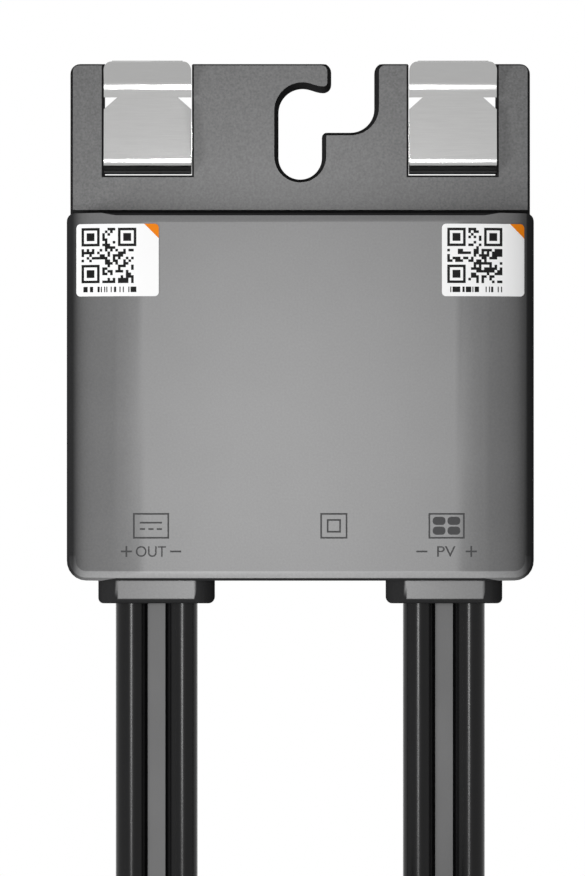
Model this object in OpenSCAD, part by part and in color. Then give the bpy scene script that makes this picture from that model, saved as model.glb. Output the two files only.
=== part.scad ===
// Power optimizer for a solar panel: a moulded housing under a bracket plate with a hook slot,
// two folded spring clips for the panel frame's flange, and two flat twin leads with connectors.
// Origin: centre of the bolt seat on the flat back. The front faces -Y and up is +Z. Millimetres.

/* [Housing] */
// Width of the housing and of the bracket plate
housing_w = 93.4; // [92:0.2:104]
// Height of the housing below the bracket plate
housing_h = 73.2; // [70:0.2:86]
// Depth of the housing from its flat back to its front face
housing_d = 20; // [19:0.5:24]
// Wall of the moulded shells
wall = 2.4; // [2.2:0.1:2.8]
// Width of the soft roll-off down each side of the front face
roll_w = 16; // [12:0.5:20]
// Depth of the soft roll-off at the side walls
roll_d = 5.4; // [3.5:0.1:6]
// Width of the gentle chamfer along the top and the bottom of the front face
front_chamfer = 1.4; // [0.8:0.1:2]
// Depth of that gentle chamfer
chamfer_depth = 0.4; // [0.2:0.05:0.8]
// Broken edge between the chamfer and the top and bottom walls
rim_break = 0.5; // [0.3:0.05:0.8]
// Radius of the lower corners of the housing
low_corner_r = 4; // [2:0.2:5]
// Radius of the upper corners of the housing
top_corner_r = 1.6; // [0.8:0.1:2.2]

/* [Bracket plate] */
// Thickness of the bracket plate, which is also the depth of the rear base
plate_t = 7; // [6.6:0.1:8]
// Height of the plate above the bolt seat
plate_rise = 19.2; // [18.6:0.1:22]
// Distance from the bolt seat down to the housing
plate_drop = 12; // [9:0.2:16]
// Radius of the plate's upper corners
plate_corner_r = 2; // [1:0.2:4]
// How far the walls of the plate and its slot draw in from the back to the front
plate_draft = 0.85; // [0.4:0.05:0.85]
// Depth of the straight land at the back of the slot, before the draft begins
slot_land = 2; // [1.4:0.1:3]
// Height of the slanted groove between the plate's front and the cover
groove_h = 1.2; // [0.6:0.1:1.6]
// Depth of that groove
groove_depth = 1.4; // [0.8:0.1:2]

/* [Hook slot] */
// Width of the slot, for an M8 bolt
slot_w = 8.8; // [8.4:0.1:9.2]
// Rise of the slot from its seat to the centre of its top arc
slot_rise = 9.2; // [8.8:0.1:9.4]
// Radius of the arc at the top of the slot
slot_top_r = 4.9; // [4.7:0.05:5.1]
// Height of the entry ledge above the seat
ledge_rise = 5.1; // [4:0.1:6]
// Distance from the slot's centre to the tip of the hook
hook_reach = 6.3; // [5.9:0.1:6.8]
// How far the tip of the hook hangs below the top of the slot
hook_drop = 0.85; // [0.4:0.05:1.4]
// Width of the entry between the hook and the opposite wall
entry_w = 8.75; // [8.4:0.05:9.4]
// Radius between the entry wall and its ledge
entry_fillet = 4.85; // [3:0.05:5]
// Radius of the hook's upper corners
hook_corner_r = 2; // [1:0.1:2.4]
// Radius of the hook's lower corner
hook_tip_r = 1.6; // [1:0.1:2]
// Radius where the ledge turns down into the slot
ledge_corner_r = 1; // [1:0.1:1.4]

/* [Spring clips] */
// Distance from the side of the plate to the middle of each clip
clip_side = 15.95; // [14.7:0.05:17.1]
// Width of the spring strip
clip_w = 17.6; // [15:0.1:18.4]
// Thickness of the spring strip
clip_t = 0.8; // [0.5:0.05:1]
// Gap between the strip and each side of its notch
clip_gap = 0.1; // [0.1:0.05:0.6]
// Height of the clip's lip above the bolt seat
clip_top = 18.9; // [18.6:0.1:20]
// Height of the clip's throat above the bolt seat
clip_throat = 14.3; // [13.5:0.1:15]
// Radius of the bend at the foot of the clip
clip_bend_r = 2.4; // [2.2:0.1:2.6]
// Depth of the notches below the bolt seat
notch_drop = 3.8; // [3.4:0.1:5.5]
// Broken edge round the front of the notches
notch_break = 0.4; // [0.15:0.05:0.5]
// How far the holding ears reach into the sides of the notch
ear_reach = 1.2; // [0.8:0.1:1.5]

/* [Cable glands and leads] */
// Distance from the side of the housing to the middle of each gland
gland_side = 17.9; // [17.1:0.1:19.1]
// Width of the gland's collar
gland_w = 23.3; // [22:0.1:24.5]
// Depth of the gland's collar, front to back
gland_depth = 11; // [10.4:0.1:11.4]
// Height of the gland's collar
gland_h = 4.6; // [3.5:0.1:5]
// Corner radius of the collar, seen from below
gland_corner_r = 4.2; // [3:0.1:4.6]
// Rounding along the lower edge of the collar
gland_edge_r = 1.1; // [0.5:0.1:1.5]
// Diameter of each round core of a twin lead
core_d = 6.2; // [5.6:0.1:6.3]
// Distance between the two cores of a twin lead
core_pitch = 10.2; // [9.6:0.1:10.6]
// Thickness of the flat web that joins the two cores
web_t = 2; // [1.4:0.1:3]

/* [Stickers] */
// Width of a sticker
label_w = 16.5; // [10:0.1:18]
// Height of a sticker
label_h = 14.4; // [10:0.1:18]
// Distance from the side of the housing to the edge of a sticker
label_side = 2.05; // [1.5:0.05:3.4]
// Distance from the top of the housing to the top of a sticker
label_drop = 2.2; // [2:0.1:6]
// Thickness of a sticker
label_t = 0.2; // [0.1:0.05:0.4]

/* [Fasteners and seal] */
// Diameter of the cover screws
screw_d = 3; // [2.5:0.1:3.2]
// Diameter of the head of a cover screw
screw_head_d = 5.6; // [5:0.1:5.8]
// Height of the head of a cover screw
screw_head_h = 1.8; // [1.4:0.1:2]
// Diameter of the screw posts
post_d = 8; // [7.6:0.1:8.4]
// Width of the seal between base and cover
seal_w = 1; // [0.8:0.05:1.2]
// Depth of the seal's groove
seal_h = 1.2; // [0.8:0.1:1.6]
// Gap left around pieces that slide into each other
fit_gap = 0.1; // [0.05:0.05:0.2]

/* [Circuit board] */
// Thickness of the circuit board
board_t = 1.6; // [1:0.1:1.8]
// Distance from the board's edge to the inner side walls
board_margin = 2.2; // [1.5:0.1:4]
// Height of the board's standoffs
standoff_h = 3.4; // [3:0.1:3.6]
// Height of the power transistors
transistor_h = 4.4; // [3:0.1:4.6]
// Thickness of the heat spreader
spreader_t = 2.5; // [1.5:0.1:3]
// Height of the inductor
inductor_h = 8.6; // [7:0.1:8.8]
// Diameter of the inductor
inductor_d = 22; // [16:0.5:23]
// Height of the film capacitors
capacitor_h = 8; // [5:0.1:8.8]

/* [Solar connectors] */
// Diameter of the connector's collar
plug_d = 18.6; // [17:0.1:20]
// Length of the collar
plug_collar_l = 12; // [9:0.5:15]
// Length of the mating end past the collar
plug_nose_l = 24; // [20:0.5:28]
// Length of the cable nut
nut_l = 17; // [14:0.5:20]
// Diameter of the contact pins
pin_d = 4; // [3:0.1:4.4]

/* [Hidden] */
$fn = 48;
// Overshoot of a cutting shape past the face that it cuts
cut = 1;
// The same for a cut that widens towards the face
skim = 0.1;
// Steps along a rounded corner and along a long soft curve
corner_steps = 6;
curve_steps = 14;

// Colours of the materials
shell_grey = [0.36, 0.36, 0.37];
base_grey = [0.33, 0.33, 0.34];
rubber_black = [0.07, 0.07, 0.07];
jacket_black = [0.08, 0.08, 0.085];
spring_steel = [0.78, 0.78, 0.78];
label_white = [0.94, 0.94, 0.94];
screw_steel = [0.55, 0.55, 0.56];
board_green = [0.07, 0.3, 0.16];
ferrite_grey = [0.2, 0.2, 0.21];
copper_red = [0.72, 0.42, 0.25];
film_blue = [0.15, 0.25, 0.5];
chip_black = [0.06, 0.06, 0.07];
alloy_grey = [0.7, 0.71, 0.72];
pad_pink = [0.75, 0.6, 0.62];
tinned_brass = [0.8, 0.72, 0.5];
tie_black = [0.1, 0.1, 0.1];

// Main planes
housing_top = -plate_drop;
housing_low = -plate_drop - housing_h;
housing_mid = (housing_top + housing_low) / 2;
part_plane = -plate_t;
front_plane = -housing_d;
inner_front = front_plane + wall;
gland_low = housing_low - gland_h;
gland_x = housing_w / 2 - gland_side;
gland_y = -12;
gland_neck_w = gland_w - 4.4;
gland_neck_depth = gland_depth - 4;
gland_flange_t = 2;

// Screw posts of the shells
post_x = housing_w / 2 - wall - post_d / 2 + 0.6;
post_top = housing_top - wall - post_d / 2 + 0.6;
post_low = housing_low + wall + post_d / 2 + gland_flange_t + 0.8;
post_places = [[-post_x, post_top], [post_x, post_top], [-post_x, post_low], [post_x, post_low]];
head_seat = screw_head_h + 0.6;
screw_bite = 7;
screw_tip = part_plane - screw_bite;

// Circuit board
board_back = -wall - standoff_h;
board_front = board_back - board_t;
board_w = housing_w - 2 * wall - 2 * board_margin;
board_gap = 1;
board_top = post_top - post_d / 2 - board_gap;
board_low = post_low + post_d / 2 + board_gap;
board_mid = (board_top + board_low) / 2;
standoff_d = 6;
standoff_inset = 5;
board_screw_d = 2.5;
board_head_d = 4.6;
board_head_h = 1.6;
board_screw_l = 2.6;
tab_w = 6.4;
tab_t = 1;
tab_foot = 4;
tab_rise = 1.4;
tab_z = board_low + tab_rise;
// The screws at the board's lower edge stand above the terminal tabs
standoff_rise = tab_rise + tab_foot + board_head_d / 2 + 0.3;
standoff_x = board_w / 2 - standoff_inset;
standoff_z = (board_top - board_low) / 2 - standoff_rise;
standoff_places = [for (sx = [-1, 1], sz = [-1, 1]) [sx * standoff_x, board_mid + sz * standoff_z]];

// Power stage, laid out from the middle of the board
transistor_w = 10;
transistor_l = 9;
transistor_pitch = board_w * 0.155;
transistor_drop = 8;
transistor_z = board_top - transistor_drop;
spreader_w = 4 * transistor_pitch;
spreader_front = board_front - transistor_h - spreader_t;
inductor_z = board_mid - 4;
inductor_flange = 1.6;
inductor_hub_d = inductor_d * 0.45;
capacitor_w = 9;
capacitor_l = 18;
capacitor_pitch = 10.5;
capacitor_x = (board_w + inductor_d) / 4;
capacitor_z = board_mid - 3;
chip_w = 9;
chip_h = 1.6;
chip_z = board_mid;
inner_wire_d = 4.2;

// Routes of the leads
lead_x = gland_x;
lead_y = gland_y;
lead_top = gland_low;
lead_out_low = -186;
lead_pv_low = -170;
lead_steps = 6;
down = [0, 0, -1];
function drop_route(x, low) =
  [for (i = [0 : lead_steps]) [x, lead_y, lead_top + (low - lead_top) * i / lead_steps]];
lead_out_route = drop_route(-lead_x, lead_out_low);
lead_pv_route = drop_route(lead_x, lead_pv_low);
// Coil that stores the output lead: a flat spiral about an axis along X
coil_z = -200;
coil_turns = 4;
coil_outer = 49.2;
coil_inner = 23.6;
coil_pitch = (coil_outer - coil_inner) / coil_turns;
coil_y = lead_y - coil_outer;
coil_half_w = (core_pitch + core_d) / 2;
turn_steps = 20;
function coil_radius(turn) = coil_outer - coil_pitch * turn;
function coil_point(turn) = let (r = coil_radius(turn))
  [-lead_x, coil_y + r * cos(360 * turn), coil_z - r * sin(360 * turn)];
function coil_heading(turn) = let (c = cos(360 * turn), s = sin(360 * turn), w = 2 * PI * coil_radius(turn))
  unit([0, -coil_pitch * c - w * s, coil_pitch * s - w * c]);
// The twin lead is split into its cores a quarter turn before the end of the coil
coil_split = coil_turns - 0.25;
coil_route = concat(
  [for (i = [0 : 1]) [-lead_x, lead_y, lead_out_low + (coil_z - lead_out_low) * i / 2]],
  [for (i = [0 : coil_split * turn_steps]) coil_point(i / turn_steps)]
);
// Offsets of a tail from the middle of its lead: sideways, then its own depth and height
tail_side = 11.5;
tail_steps = 6;
tail_out_low = -312;
tail_pv_low = -220;
function core_side(t) = core_pitch / 2 + (tail_side - core_pitch / 2) * t * t * (3 - 2 * t);
tail_out_y = coil_y + coil_inner;
tail_out_route = concat(
  [for (i = [0 : tail_steps]) let (t = i / tail_steps, p = coil_point(coil_split + 0.25 * t))
    [core_side(t), p[1], p[2]]],
  [for (i = [1 : tail_steps]) [tail_side, tail_out_y, coil_z + (tail_out_low - coil_z) * i / tail_steps]]
);
tail_pv_route = [for (i = [0 : tail_steps]) let (t = i / tail_steps)
  [core_side(t), lead_y, lead_pv_low + (tail_pv_low - lead_pv_low) * t]];
tail_out_end = [tail_out_y, tail_out_low];
tail_pv_end = [lead_y, tail_pv_low];
tie_w = 4;
tie_t = 1.2;
tie_gap = 0.5;

// Spring clip, seen from the side: depth and height
clip_x = housing_w / 2 - clip_side;
clip_back_y = -plate_t * 0.6;
clip_bend_y = clip_back_y - clip_bend_r;
clip_foot_gap = 0.2;
clip_bend_z = -notch_drop + clip_foot_gap + clip_t / 2 + clip_bend_r;
clip_throat_y = -plate_t - 0.5 - clip_t / 2;
clip_lip_y = clip_throat_y - 2.3;
clip_back_top = clip_bend_z + 8;
clip_lip_r = 1.7;
ear_low = clip_bend_z + 1.6;
ear_high = clip_back_top - 1;
notch_w = clip_w + 2 * clip_gap;
// Side cuts below the throat, which let the tongue flex
relief_depth = 2.7;
relief_top = clip_throat - 2.5;
relief_h = 2.4;

// Shared functions

function arc(centre, r, a0, a1, steps = corner_steps) =
  [for (i = [0 : steps]) centre + r * [cos(a0 + (a1 - a0) * i / steps), sin(a0 + (a1 - a0) * i / steps)]];

// Quadratic curve from a to b, drawn towards c
function bow(a, c, b, steps) =
  [for (i = [0 : steps]) let (t = i / steps) (1 - t) * (1 - t) * a + 2 * t * (1 - t) * c + t * t * b];

function unit(v) = v / norm(v);

// Direction of a path at a point; at an end it follows the bend of the last three points
function tangent(path, i) = let (n = len(path) - 1) unit(
  i == 0 ? 4 * path[1] - 3 * path[0] - path[2] :
  i == n ? 3 * path[n] - 4 * path[n - 1] + path[n - 2] : path[i + 1] - path[i - 1]);

// Closed outline of a strip of thickness t along a flat path
function strip(path, t) = let (
  side = [for (i = [0 : len(path) - 1]) let (d = tangent(path, i)) [-d[1], d[0]] * t / 2]
) concat(
  [for (i = [0 : len(path) - 1]) path[i] + side[i]],
  [for (i = [len(path) - 1 : -1 : 0]) path[i] - side[i]]
);

function rounded_box(w, low, high, r_low, r_high) = concat(
  arc([-w / 2 + r_low, low + r_low], r_low, 180, 270),
  arc([w / 2 - r_low, low + r_low], r_low, 270, 360),
  arc([w / 2 - r_high, high - r_high], r_high, 0, 90),
  arc([-w / 2 + r_high, high - r_high], r_high, 90, 180)
);

// Shared shapes

// Extrudes an outline drawn in X and Z from depth y_front to depth y_back
module along_y(y_front, y_back) {
  translate([0, y_back, 0]) rotate([90, 0, 0]) linear_extrude(y_back - y_front) children();
}

// Extrudes an outline drawn in Y and Z over the width w, centred on X
module along_x(w) {
  translate([-w / 2, 0, 0]) rotate([90, 0, 90]) linear_extrude(w) children();
}

module along_z(low, high) {
  translate([0, 0, low]) linear_extrude(high - low) children();
}

// Round bar along Y
module bar_y(x, z, d, y_front, y_back) {
  translate([x, y_back, z]) rotate([90, 0, 0]) cylinder(d = d, h = y_back - y_front);
}

module box_y(x, z, w, h, y_front, y_back) {
  translate([x - w / 2, y_front, z - h / 2]) cube([w, y_back - y_front, h]);
}

// Closed solid through rings of n points each, every ring counter-clockwise about the way ahead
module skin(points, n) {
  rings = len(points) / n;
  sides = [for (i = [0 : rings - 2], j = [0 : n - 1]) let (
      a = i * n + j,
      b = i * n + (j + 1) % n
    ) each [[a, a + n, b], [b, a + n, b + n]]];
  near_end = [for (j = [0 : n - 1]) j];
  far_end = [for (j = [n - 1 : -1 : 0]) (rings - 1) * n + j];
  polyhedron(points = points, faces = concat([near_end], sides, [far_end]), convexity = 4);
}

// Solid swept along a route from one heading to another; the profile's first axis stays nearest to X
module sweep(profile, route, first = down, last = down) {
  end = len(route) - 1;
  skin([for (i = [0 : end]) let (
      d = i == 0 ? first : i == end ? last : tangent(route, i),
      side = unit([1, 0, 0] - d[0] * d),
      lift = cross(d, side)
    ) for (p = profile) route[i] + p[0] * side + p[1] * lift], len(profile));
}

// Solid through outlines drawn in X and Z, one at each depth from the back to the front
module skin_y(depths, outlines) {
  skin([for (i = [0 : len(depths) - 1]) for (p = outlines[i]) [p[0], depths[i], p[1]]], len(outlines[0]));
}

function round_profile(d, sides = 10) =
  [for (i = [0 : sides - 1]) d / 2 * [cos(360 * i / sides), sin(360 * i / sides)]];

// Two round cores joined by a flat web
web_angle = asin(web_t / core_d);
twin_profile = concat(
  arc([core_pitch / 2, 0], core_d / 2, -180 + web_angle, 180 - web_angle, 8),
  arc([-core_pitch / 2, 0], core_d / 2, web_angle, 360 - web_angle, 8)
);

// Housing

// Outer form of the cover, drawn in by g on every side
module cover_form(g, y_back) {
  half = housing_w / 2 - g;
  front = front_plane + g;
  shoulder = front_plane + roll_d;
  roll = roll_w - g;
  depth = shoulder - front;
  side_roll = [for (i = [0 : curve_steps]) let (a = 90 * i / curve_steps)
    [half - roll + roll * cos(a), shoulder - depth * sin(a)]];
  plan = concat(
    [[half, y_back]], side_roll,
    [for (i = [curve_steps : -1 : 0]) [-side_roll[i][0], side_roll[i][1]]], [[-half, y_back]]
  );
  low = housing_low + g;
  high = housing_top - g;
  intersection() {
    along_z(low - cut, high + cut) polygon(plan);
    along_y(front - cut, y_back) polygon(
      rounded_box(2 * half, low, high, low_corner_r - g / 2, top_corner_r - g / 2));
    along_x(housing_w + 2 * cut) polygon([
      [y_back, low], [y_back, high],
      [front + chamfer_depth + rim_break, high], [front + chamfer_depth, high - rim_break],
      [front, high - rim_break - front_chamfer], [front, low + rim_break + front_chamfer],
      [front + chamfer_depth, low + rim_break], [front + chamfer_depth + rim_break, low]
    ]);
  }
}

// Plan of a gland with rounded corners
module gland_plan(w, depth, r) {
  polygon(rounded_box(w, -depth / 2, depth / 2, r, r));
}

module front_cover() {
  neck_r = gland_neck_depth / 2 - 0.4;
  color(shell_grey) difference() {
    union() {
      difference() {
        cover_form(0, part_plane);
        cover_form(wall, part_plane + cut);
      }
      intersection() {
        for (p = post_places) bar_y(p[0], p[1], post_d, front_plane, part_plane);
        cover_form(wall / 2, part_plane);
      }
    }
    for (p = post_places)
      bar_y(p[0], p[1], screw_d + 2 * fit_gap, screw_tip - fit_gap, part_plane + cut);
    for (sx = [-1, 1]) translate([sx * gland_x, gland_y, 0])
      along_z(housing_low - cut, housing_low + wall + cut)
        gland_plan(gland_neck_w + 2 * fit_gap, gland_neck_depth + 2 * fit_gap, neck_r);
  }
}

// Outline of the slot above its round seat up to the open entry, widened by g
function slot_outline(g) = let (
  s = slot_w / 2,
  entry_x = hook_reach + entry_w,
  top_x = slot_top_r - s,
  slot_top = slot_rise + slot_top_r,
  tip_x = hook_reach - hook_tip_r,
  tip_low = slot_top - hook_drop,
  open = plate_rise + cut
) concat(
  [[-s - g, 0], [s + g, 0]],
  arc([s + ledge_corner_r, ledge_rise - ledge_corner_r], ledge_corner_r - g, 180, 90),
  arc([entry_x - entry_fillet, ledge_rise + entry_fillet], entry_fillet + g, -90, 0, 10),
  arc([entry_x + hook_corner_r, plate_rise - hook_corner_r], hook_corner_r - g, 180, 90),
  [[entry_x + hook_corner_r, open], [hook_reach - hook_corner_r, open]],
  arc([hook_reach - hook_corner_r, plate_rise - hook_corner_r], hook_corner_r - g, 90, 0),
  arc([tip_x, tip_low + hook_tip_r], hook_tip_r - g, 0, -90),
  [for (i = [1 : 8]) let (t = i / 8)
    [tip_x + (top_x - tip_x) * t, tip_low + g + hook_drop * (1 - cos(180 * t)) / 2]],
  [for (i = [1 : 12]) let (a = 90 + 90 * i / 12)
    [top_x + (slot_top_r + g) * cos(a), slot_rise + (slot_top_r + g) * sin(a)]]
);

function notch_outline(g) = let (half = notch_w / 2 + g, low = -notch_drop - g, open = plate_rise + cut)
  [[-half, low], [half, low], [half, open], [-half, open]];

// Outline of the plate, drawn in by g at its sides and top, down to just below the cover's top
function plate_outline(g) = let (
  half = housing_w / 2,
  c = half - plate_corner_r,
  high = plate_rise - plate_corner_r
) concat(
  [[-half + g, housing_top - cut], [half - g, housing_top - cut]],
  arc([c, high], plate_corner_r - g, 0, 90),
  arc([-c, high], plate_corner_r - g, 90, 180)
);

// Cut with a straight land at the back, which widens from there to the plate's front
module slot_cut() {
  rise = plate_t - slot_land + skim;
  wide = plate_draft * rise / (rise - skim);
  skin_y([cut, -slot_land, part_plane - skim], [slot_outline(0), slot_outline(0), slot_outline(wide)]);
  bar_y(0, 0, slot_w, -slot_land - skim, cut);
  translate([0, -slot_land, 0]) rotate([90, 0, 0])
    cylinder(d1 = slot_w, d2 = slot_w + 2 * wide, h = rise);
}

// Notch of one spring clip, with the grooves that hold its ears
module clip_notch() {
  groove_w = notch_w + 2 * ear_reach + 2 * fit_gap;
  groove_t = clip_t + 2 * fit_gap;
  skin_y([cut, part_plane + notch_break, part_plane - skim],
    [notch_outline(0), notch_outline(0), notch_outline(notch_break + skim)]);
  translate([-groove_w / 2, clip_back_y - groove_t / 2, ear_low - fit_gap])
    cube([groove_w, groove_t, plate_rise + cut - ear_low]);
}

module seal_ring(w, y_front, y_back) {
  inset = (wall - w) / 2;
  out_w = housing_w - 2 * inset;
  in_w = out_w - 2 * w;
  difference() {
    along_y(y_front, y_back) polygon(rounded_box(out_w, housing_low + inset, housing_top - inset,
      low_corner_r - inset, top_corner_r - inset / 2));
    along_y(y_front - cut, y_back + cut) polygon(rounded_box(in_w, housing_low + inset + w,
      housing_top - inset - w, low_corner_r - inset - w, top_corner_r - inset / 2 - w / 2));
  }
}

module rear_base() {
  cavity_w = housing_w - 2 * wall;
  color(base_grey) difference() {
    union() {
      difference() {
        union() {
          along_y(part_plane, 0) polygon(concat(
            arc([-housing_w / 2 + low_corner_r, housing_low + low_corner_r], low_corner_r, 180, 270),
            arc([housing_w / 2 - low_corner_r, housing_low + low_corner_r], low_corner_r, 270, 360),
            [[housing_w / 2, housing_top], [-housing_w / 2, housing_top]]
          ));
          skin_y([0, part_plane], [plate_outline(0), plate_outline(plate_draft)]);
        }
        along_y(part_plane - cut, -wall) polygon(rounded_box(cavity_w, housing_low + wall,
          housing_top - wall, low_corner_r - wall / 2, top_corner_r - wall / 2));
      }
      intersection() {
        for (p = post_places) bar_y(p[0], p[1], post_d, part_plane, -wall / 2);
        along_y(part_plane, 0) polygon(rounded_box(housing_w - wall, housing_low + wall / 2,
          housing_top - wall / 2, low_corner_r - wall / 2, top_corner_r - wall / 2));
      }
      for (p = standoff_places) bar_y(p[0], p[1], standoff_d, board_back, -wall / 2);
    }
    slot_cut();
    along_x(housing_w + 2 * cut) polygon([
      [part_plane - cut, housing_top], [part_plane + groove_depth, housing_top],
      [part_plane, housing_top + groove_h], [part_plane - cut, housing_top + groove_h]
    ]);
    for (sx = [-1, 1]) translate([sx * clip_x, 0, 0]) clip_notch();
    for (p = post_places) {
      bar_y(p[0], p[1], screw_d + 2 * fit_gap, part_plane - cut, cut);
      bar_y(p[0], p[1], screw_head_d + 4 * fit_gap, -head_seat, cut);
    }
    for (p = standoff_places)
      bar_y(p[0], p[1], board_screw_d + 2 * fit_gap, board_back - cut, board_back + board_screw_l);
    seal_ring(seal_w + 2 * fit_gap, part_plane - cut, part_plane + seal_h + fit_gap);
  }
}

module cover_seal() {
  color(rubber_black) seal_ring(seal_w, part_plane, part_plane + seal_h);
}

// Pan-head screws that come in from the back
module cover_screws() {
  socket_d = screw_head_d * 0.45;
  color(screw_steel) for (p = post_places) difference() {
    union() {
      bar_y(p[0], p[1], screw_d, screw_tip, -head_seat);
      bar_y(p[0], p[1], screw_head_d, -head_seat, -head_seat + screw_head_h);
    }
    translate([p[0], cut, p[1]]) rotate([90, 0, 0])
      cylinder(d = socket_d, h = cut + head_seat - screw_head_h * 0.45, $fn = 6);
  }
}

// Folded strip: flared lip, throat, flat tongue, bend and rear leg
module spring_clip() {
  throat = [clip_throat_y, clip_throat];
  lip_top = [clip_lip_y, clip_top];
  bend = [clip_bend_y, clip_bend_z];
  reach = bend - throat;
  // Where the flat tongue runs into the bend
  foot_angle = atan2(reach[1], reach[0]) - asin(clip_bend_r / norm(reach)) + 270;
  foot = bend + clip_bend_r * [cos(foot_angle), sin(foot_angle)];
  into = 1.2;
  path = concat(
    [lip_top],
    bow(throat + into * unit(lip_top - throat), throat, throat + into * unit(foot - throat), 5),
    arc(bend, clip_bend_r, foot_angle, 360, 12),
    [[clip_back_y, clip_back_top]]
  );
  half = clip_w / 2;
  difference() {
    union() {
      along_x(clip_w) polygon(strip(path, clip_t));
      translate([-notch_w / 2 - ear_reach, clip_back_y - clip_t / 2, ear_low])
        cube([notch_w + 2 * ear_reach, clip_t, ear_high - ear_low]);
    }
    for (sx = [-1, 1]) {
      along_y(clip_lip_y - 4, clip_throat_y + 2) polygon([
        [sx * (half + cut), relief_top], [sx * (half - relief_depth), relief_top],
        [sx * half, relief_top - relief_h], [sx * (half + cut), relief_top - relief_h]
      ]);
      along_y(clip_lip_y - 4, clip_throat_y + 2) polygon(concat(
        arc([sx * (half - clip_lip_r), clip_top - clip_lip_r], clip_lip_r, 90 - sx * 90, 90),
        [[sx * (half - clip_lip_r), clip_top + cut], [sx * (half + cut), clip_top + cut],
          [sx * (half + cut), clip_top - clip_lip_r]]
      ));
    }
  }
}

module spring_clip_left() { color(spring_steel) translate([-clip_x, 0, 0]) spring_clip(); }
module spring_clip_right() { color(spring_steel) translate([clip_x, 0, 0]) spring_clip(); }

// Sticker that follows the rolled front of the cover
module label(x) {
  high = housing_top - label_drop;
  color(label_white) intersection() {
    difference() {
      translate([0, -label_t, 0]) cover_form(0, part_plane);
      cover_form(0, part_plane + cut);
    }
    translate([x, 0, 0]) along_y(front_plane - cut, part_plane - label_t - cut)
      polygon(rounded_box(label_w, high - label_h, high, 0.8, 0.8));
  }
}

label_x = housing_w / 2 - label_side - label_w / 2;

module label_left() { label(-label_x); }
module label_right() { label(label_x); }

// Gland: rounded collar below the housing, neck in the wall and flange inside
module gland(x) {
  neck_r = gland_neck_depth / 2 - 0.4;
  inner_z = housing_low + wall;
  color(shell_grey) translate([x, gland_y, 0]) union() {
    intersection() {
      along_z(gland_low, housing_low) gland_plan(gland_w, gland_depth, gland_corner_r);
      along_y(-gland_depth, gland_depth)
        polygon(rounded_box(gland_w, gland_low, housing_low + gland_h, gland_edge_r, gland_edge_r));
      along_x(gland_w + cut)
        polygon(rounded_box(gland_depth, gland_low, housing_low + gland_h, gland_edge_r, gland_edge_r));
    }
    along_z(housing_low - 0.5, inner_z + 0.5) gland_plan(gland_neck_w, gland_neck_depth, neck_r);
    along_z(inner_z, inner_z + gland_flange_t)
      gland_plan(gland_neck_w + 1.6, gland_neck_depth + 1.6, neck_r);
  }
}

module gland_out() { gland(-gland_x); }
module gland_pv() { gland(gland_x); }

// Electronics

module circuit_board() {
  color(board_green) difference() {
    along_y(board_front, board_back) polygon(rounded_box(board_w, board_low, board_top, 1.5, 1.5));
    for (p = standoff_places)
      bar_y(p[0], p[1], board_screw_d + 2 * fit_gap, board_front - cut, board_back + cut);
  }
}

module board_screws() {
  color(screw_steel) for (p = standoff_places) {
    bar_y(p[0], p[1], board_head_d, board_front - board_head_h, board_front);
    bar_y(p[0], p[1], board_screw_d, board_front, board_back + board_screw_l - fit_gap);
  }
}

// Drum core: two flanges on a hub
module inductor_core() {
  r = inductor_d / 2;
  hub = inductor_hub_d / 2;
  color(ferrite_grey) translate([0, board_front, inductor_z]) rotate([90, 0, 0]) rotate_extrude()
    polygon([[0, 0], [r, 0], [r, inductor_flange], [hub, inductor_flange],
      [hub, inductor_h - inductor_flange], [r, inductor_h - inductor_flange],
      [r, inductor_h], [0, inductor_h]]);
}

module inductor_winding() {
  r = inductor_d / 2 - 0.8;
  hub = inductor_hub_d / 2 + fit_gap;
  low = inductor_flange + fit_gap;
  high = inductor_h - inductor_flange - fit_gap;
  color(copper_red) translate([0, board_front, inductor_z]) rotate([90, 0, 0]) rotate_extrude()
    polygon([[hub, low], [r, low], [r, high], [hub, high]]);
}

module film_capacitors(side) {
  color(film_blue) for (i = [-0.5, 0.5])
    translate([side * capacitor_x + i * capacitor_pitch, 0, capacitor_z])
      along_y(board_front - capacitor_h, board_front)
        polygon(rounded_box(capacitor_w, -capacitor_l / 2, capacitor_l / 2, 0.8, 0.8));
}

module input_capacitors() { film_capacitors(1); }
module output_capacitors() { film_capacitors(-1); }

// Moulded bodies with their solder tabs
module power_transistors() {
  color(chip_black) for (i = [-1.5 : 1 : 1.5]) {
    x = i * transistor_pitch;
    box_y(x, transistor_z, transistor_w, transistor_l, board_front - transistor_h, board_front);
    box_y(x, transistor_z + transistor_l / 2 + 1, transistor_w - 1.6, 2.4, board_front - 1.3, board_front);
  }
}

module heat_spreader() {
  color(alloy_grey) along_y(spreader_front, spreader_front + spreader_t)
    translate([0, transistor_z])
      polygon(rounded_box(spreader_w, -transistor_l / 2 - 1, transistor_l / 2 + 1, 1, 1));
}

module thermal_pad() {
  color(pad_pink) box_y(0, transistor_z, spreader_w - 2, transistor_l, inner_front, spreader_front);
}

// Square chip on the back of the board, with a row of legs on each side
module control_chip() {
  leg_pitch = 1.2;
  leg_w = 0.5;
  leg_t = 0.4;
  leg_span = chip_w + 2.4;
  color(chip_black) translate([0, 0, chip_z]) {
    box_y(0, 0, chip_w, chip_w, board_back, board_back + chip_h);
    for (i = [-3 : 3]) {
      box_y(i * leg_pitch, 0, leg_w, leg_span, board_back, board_back + leg_t);
      box_y(0, i * leg_pitch, leg_span, leg_w, board_back, board_back + leg_t);
    }
  }
}

core_places = [for (sx = [-1, 1], sc = [-0.5, 0.5]) sx * gland_x + sc * core_pitch];

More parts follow.
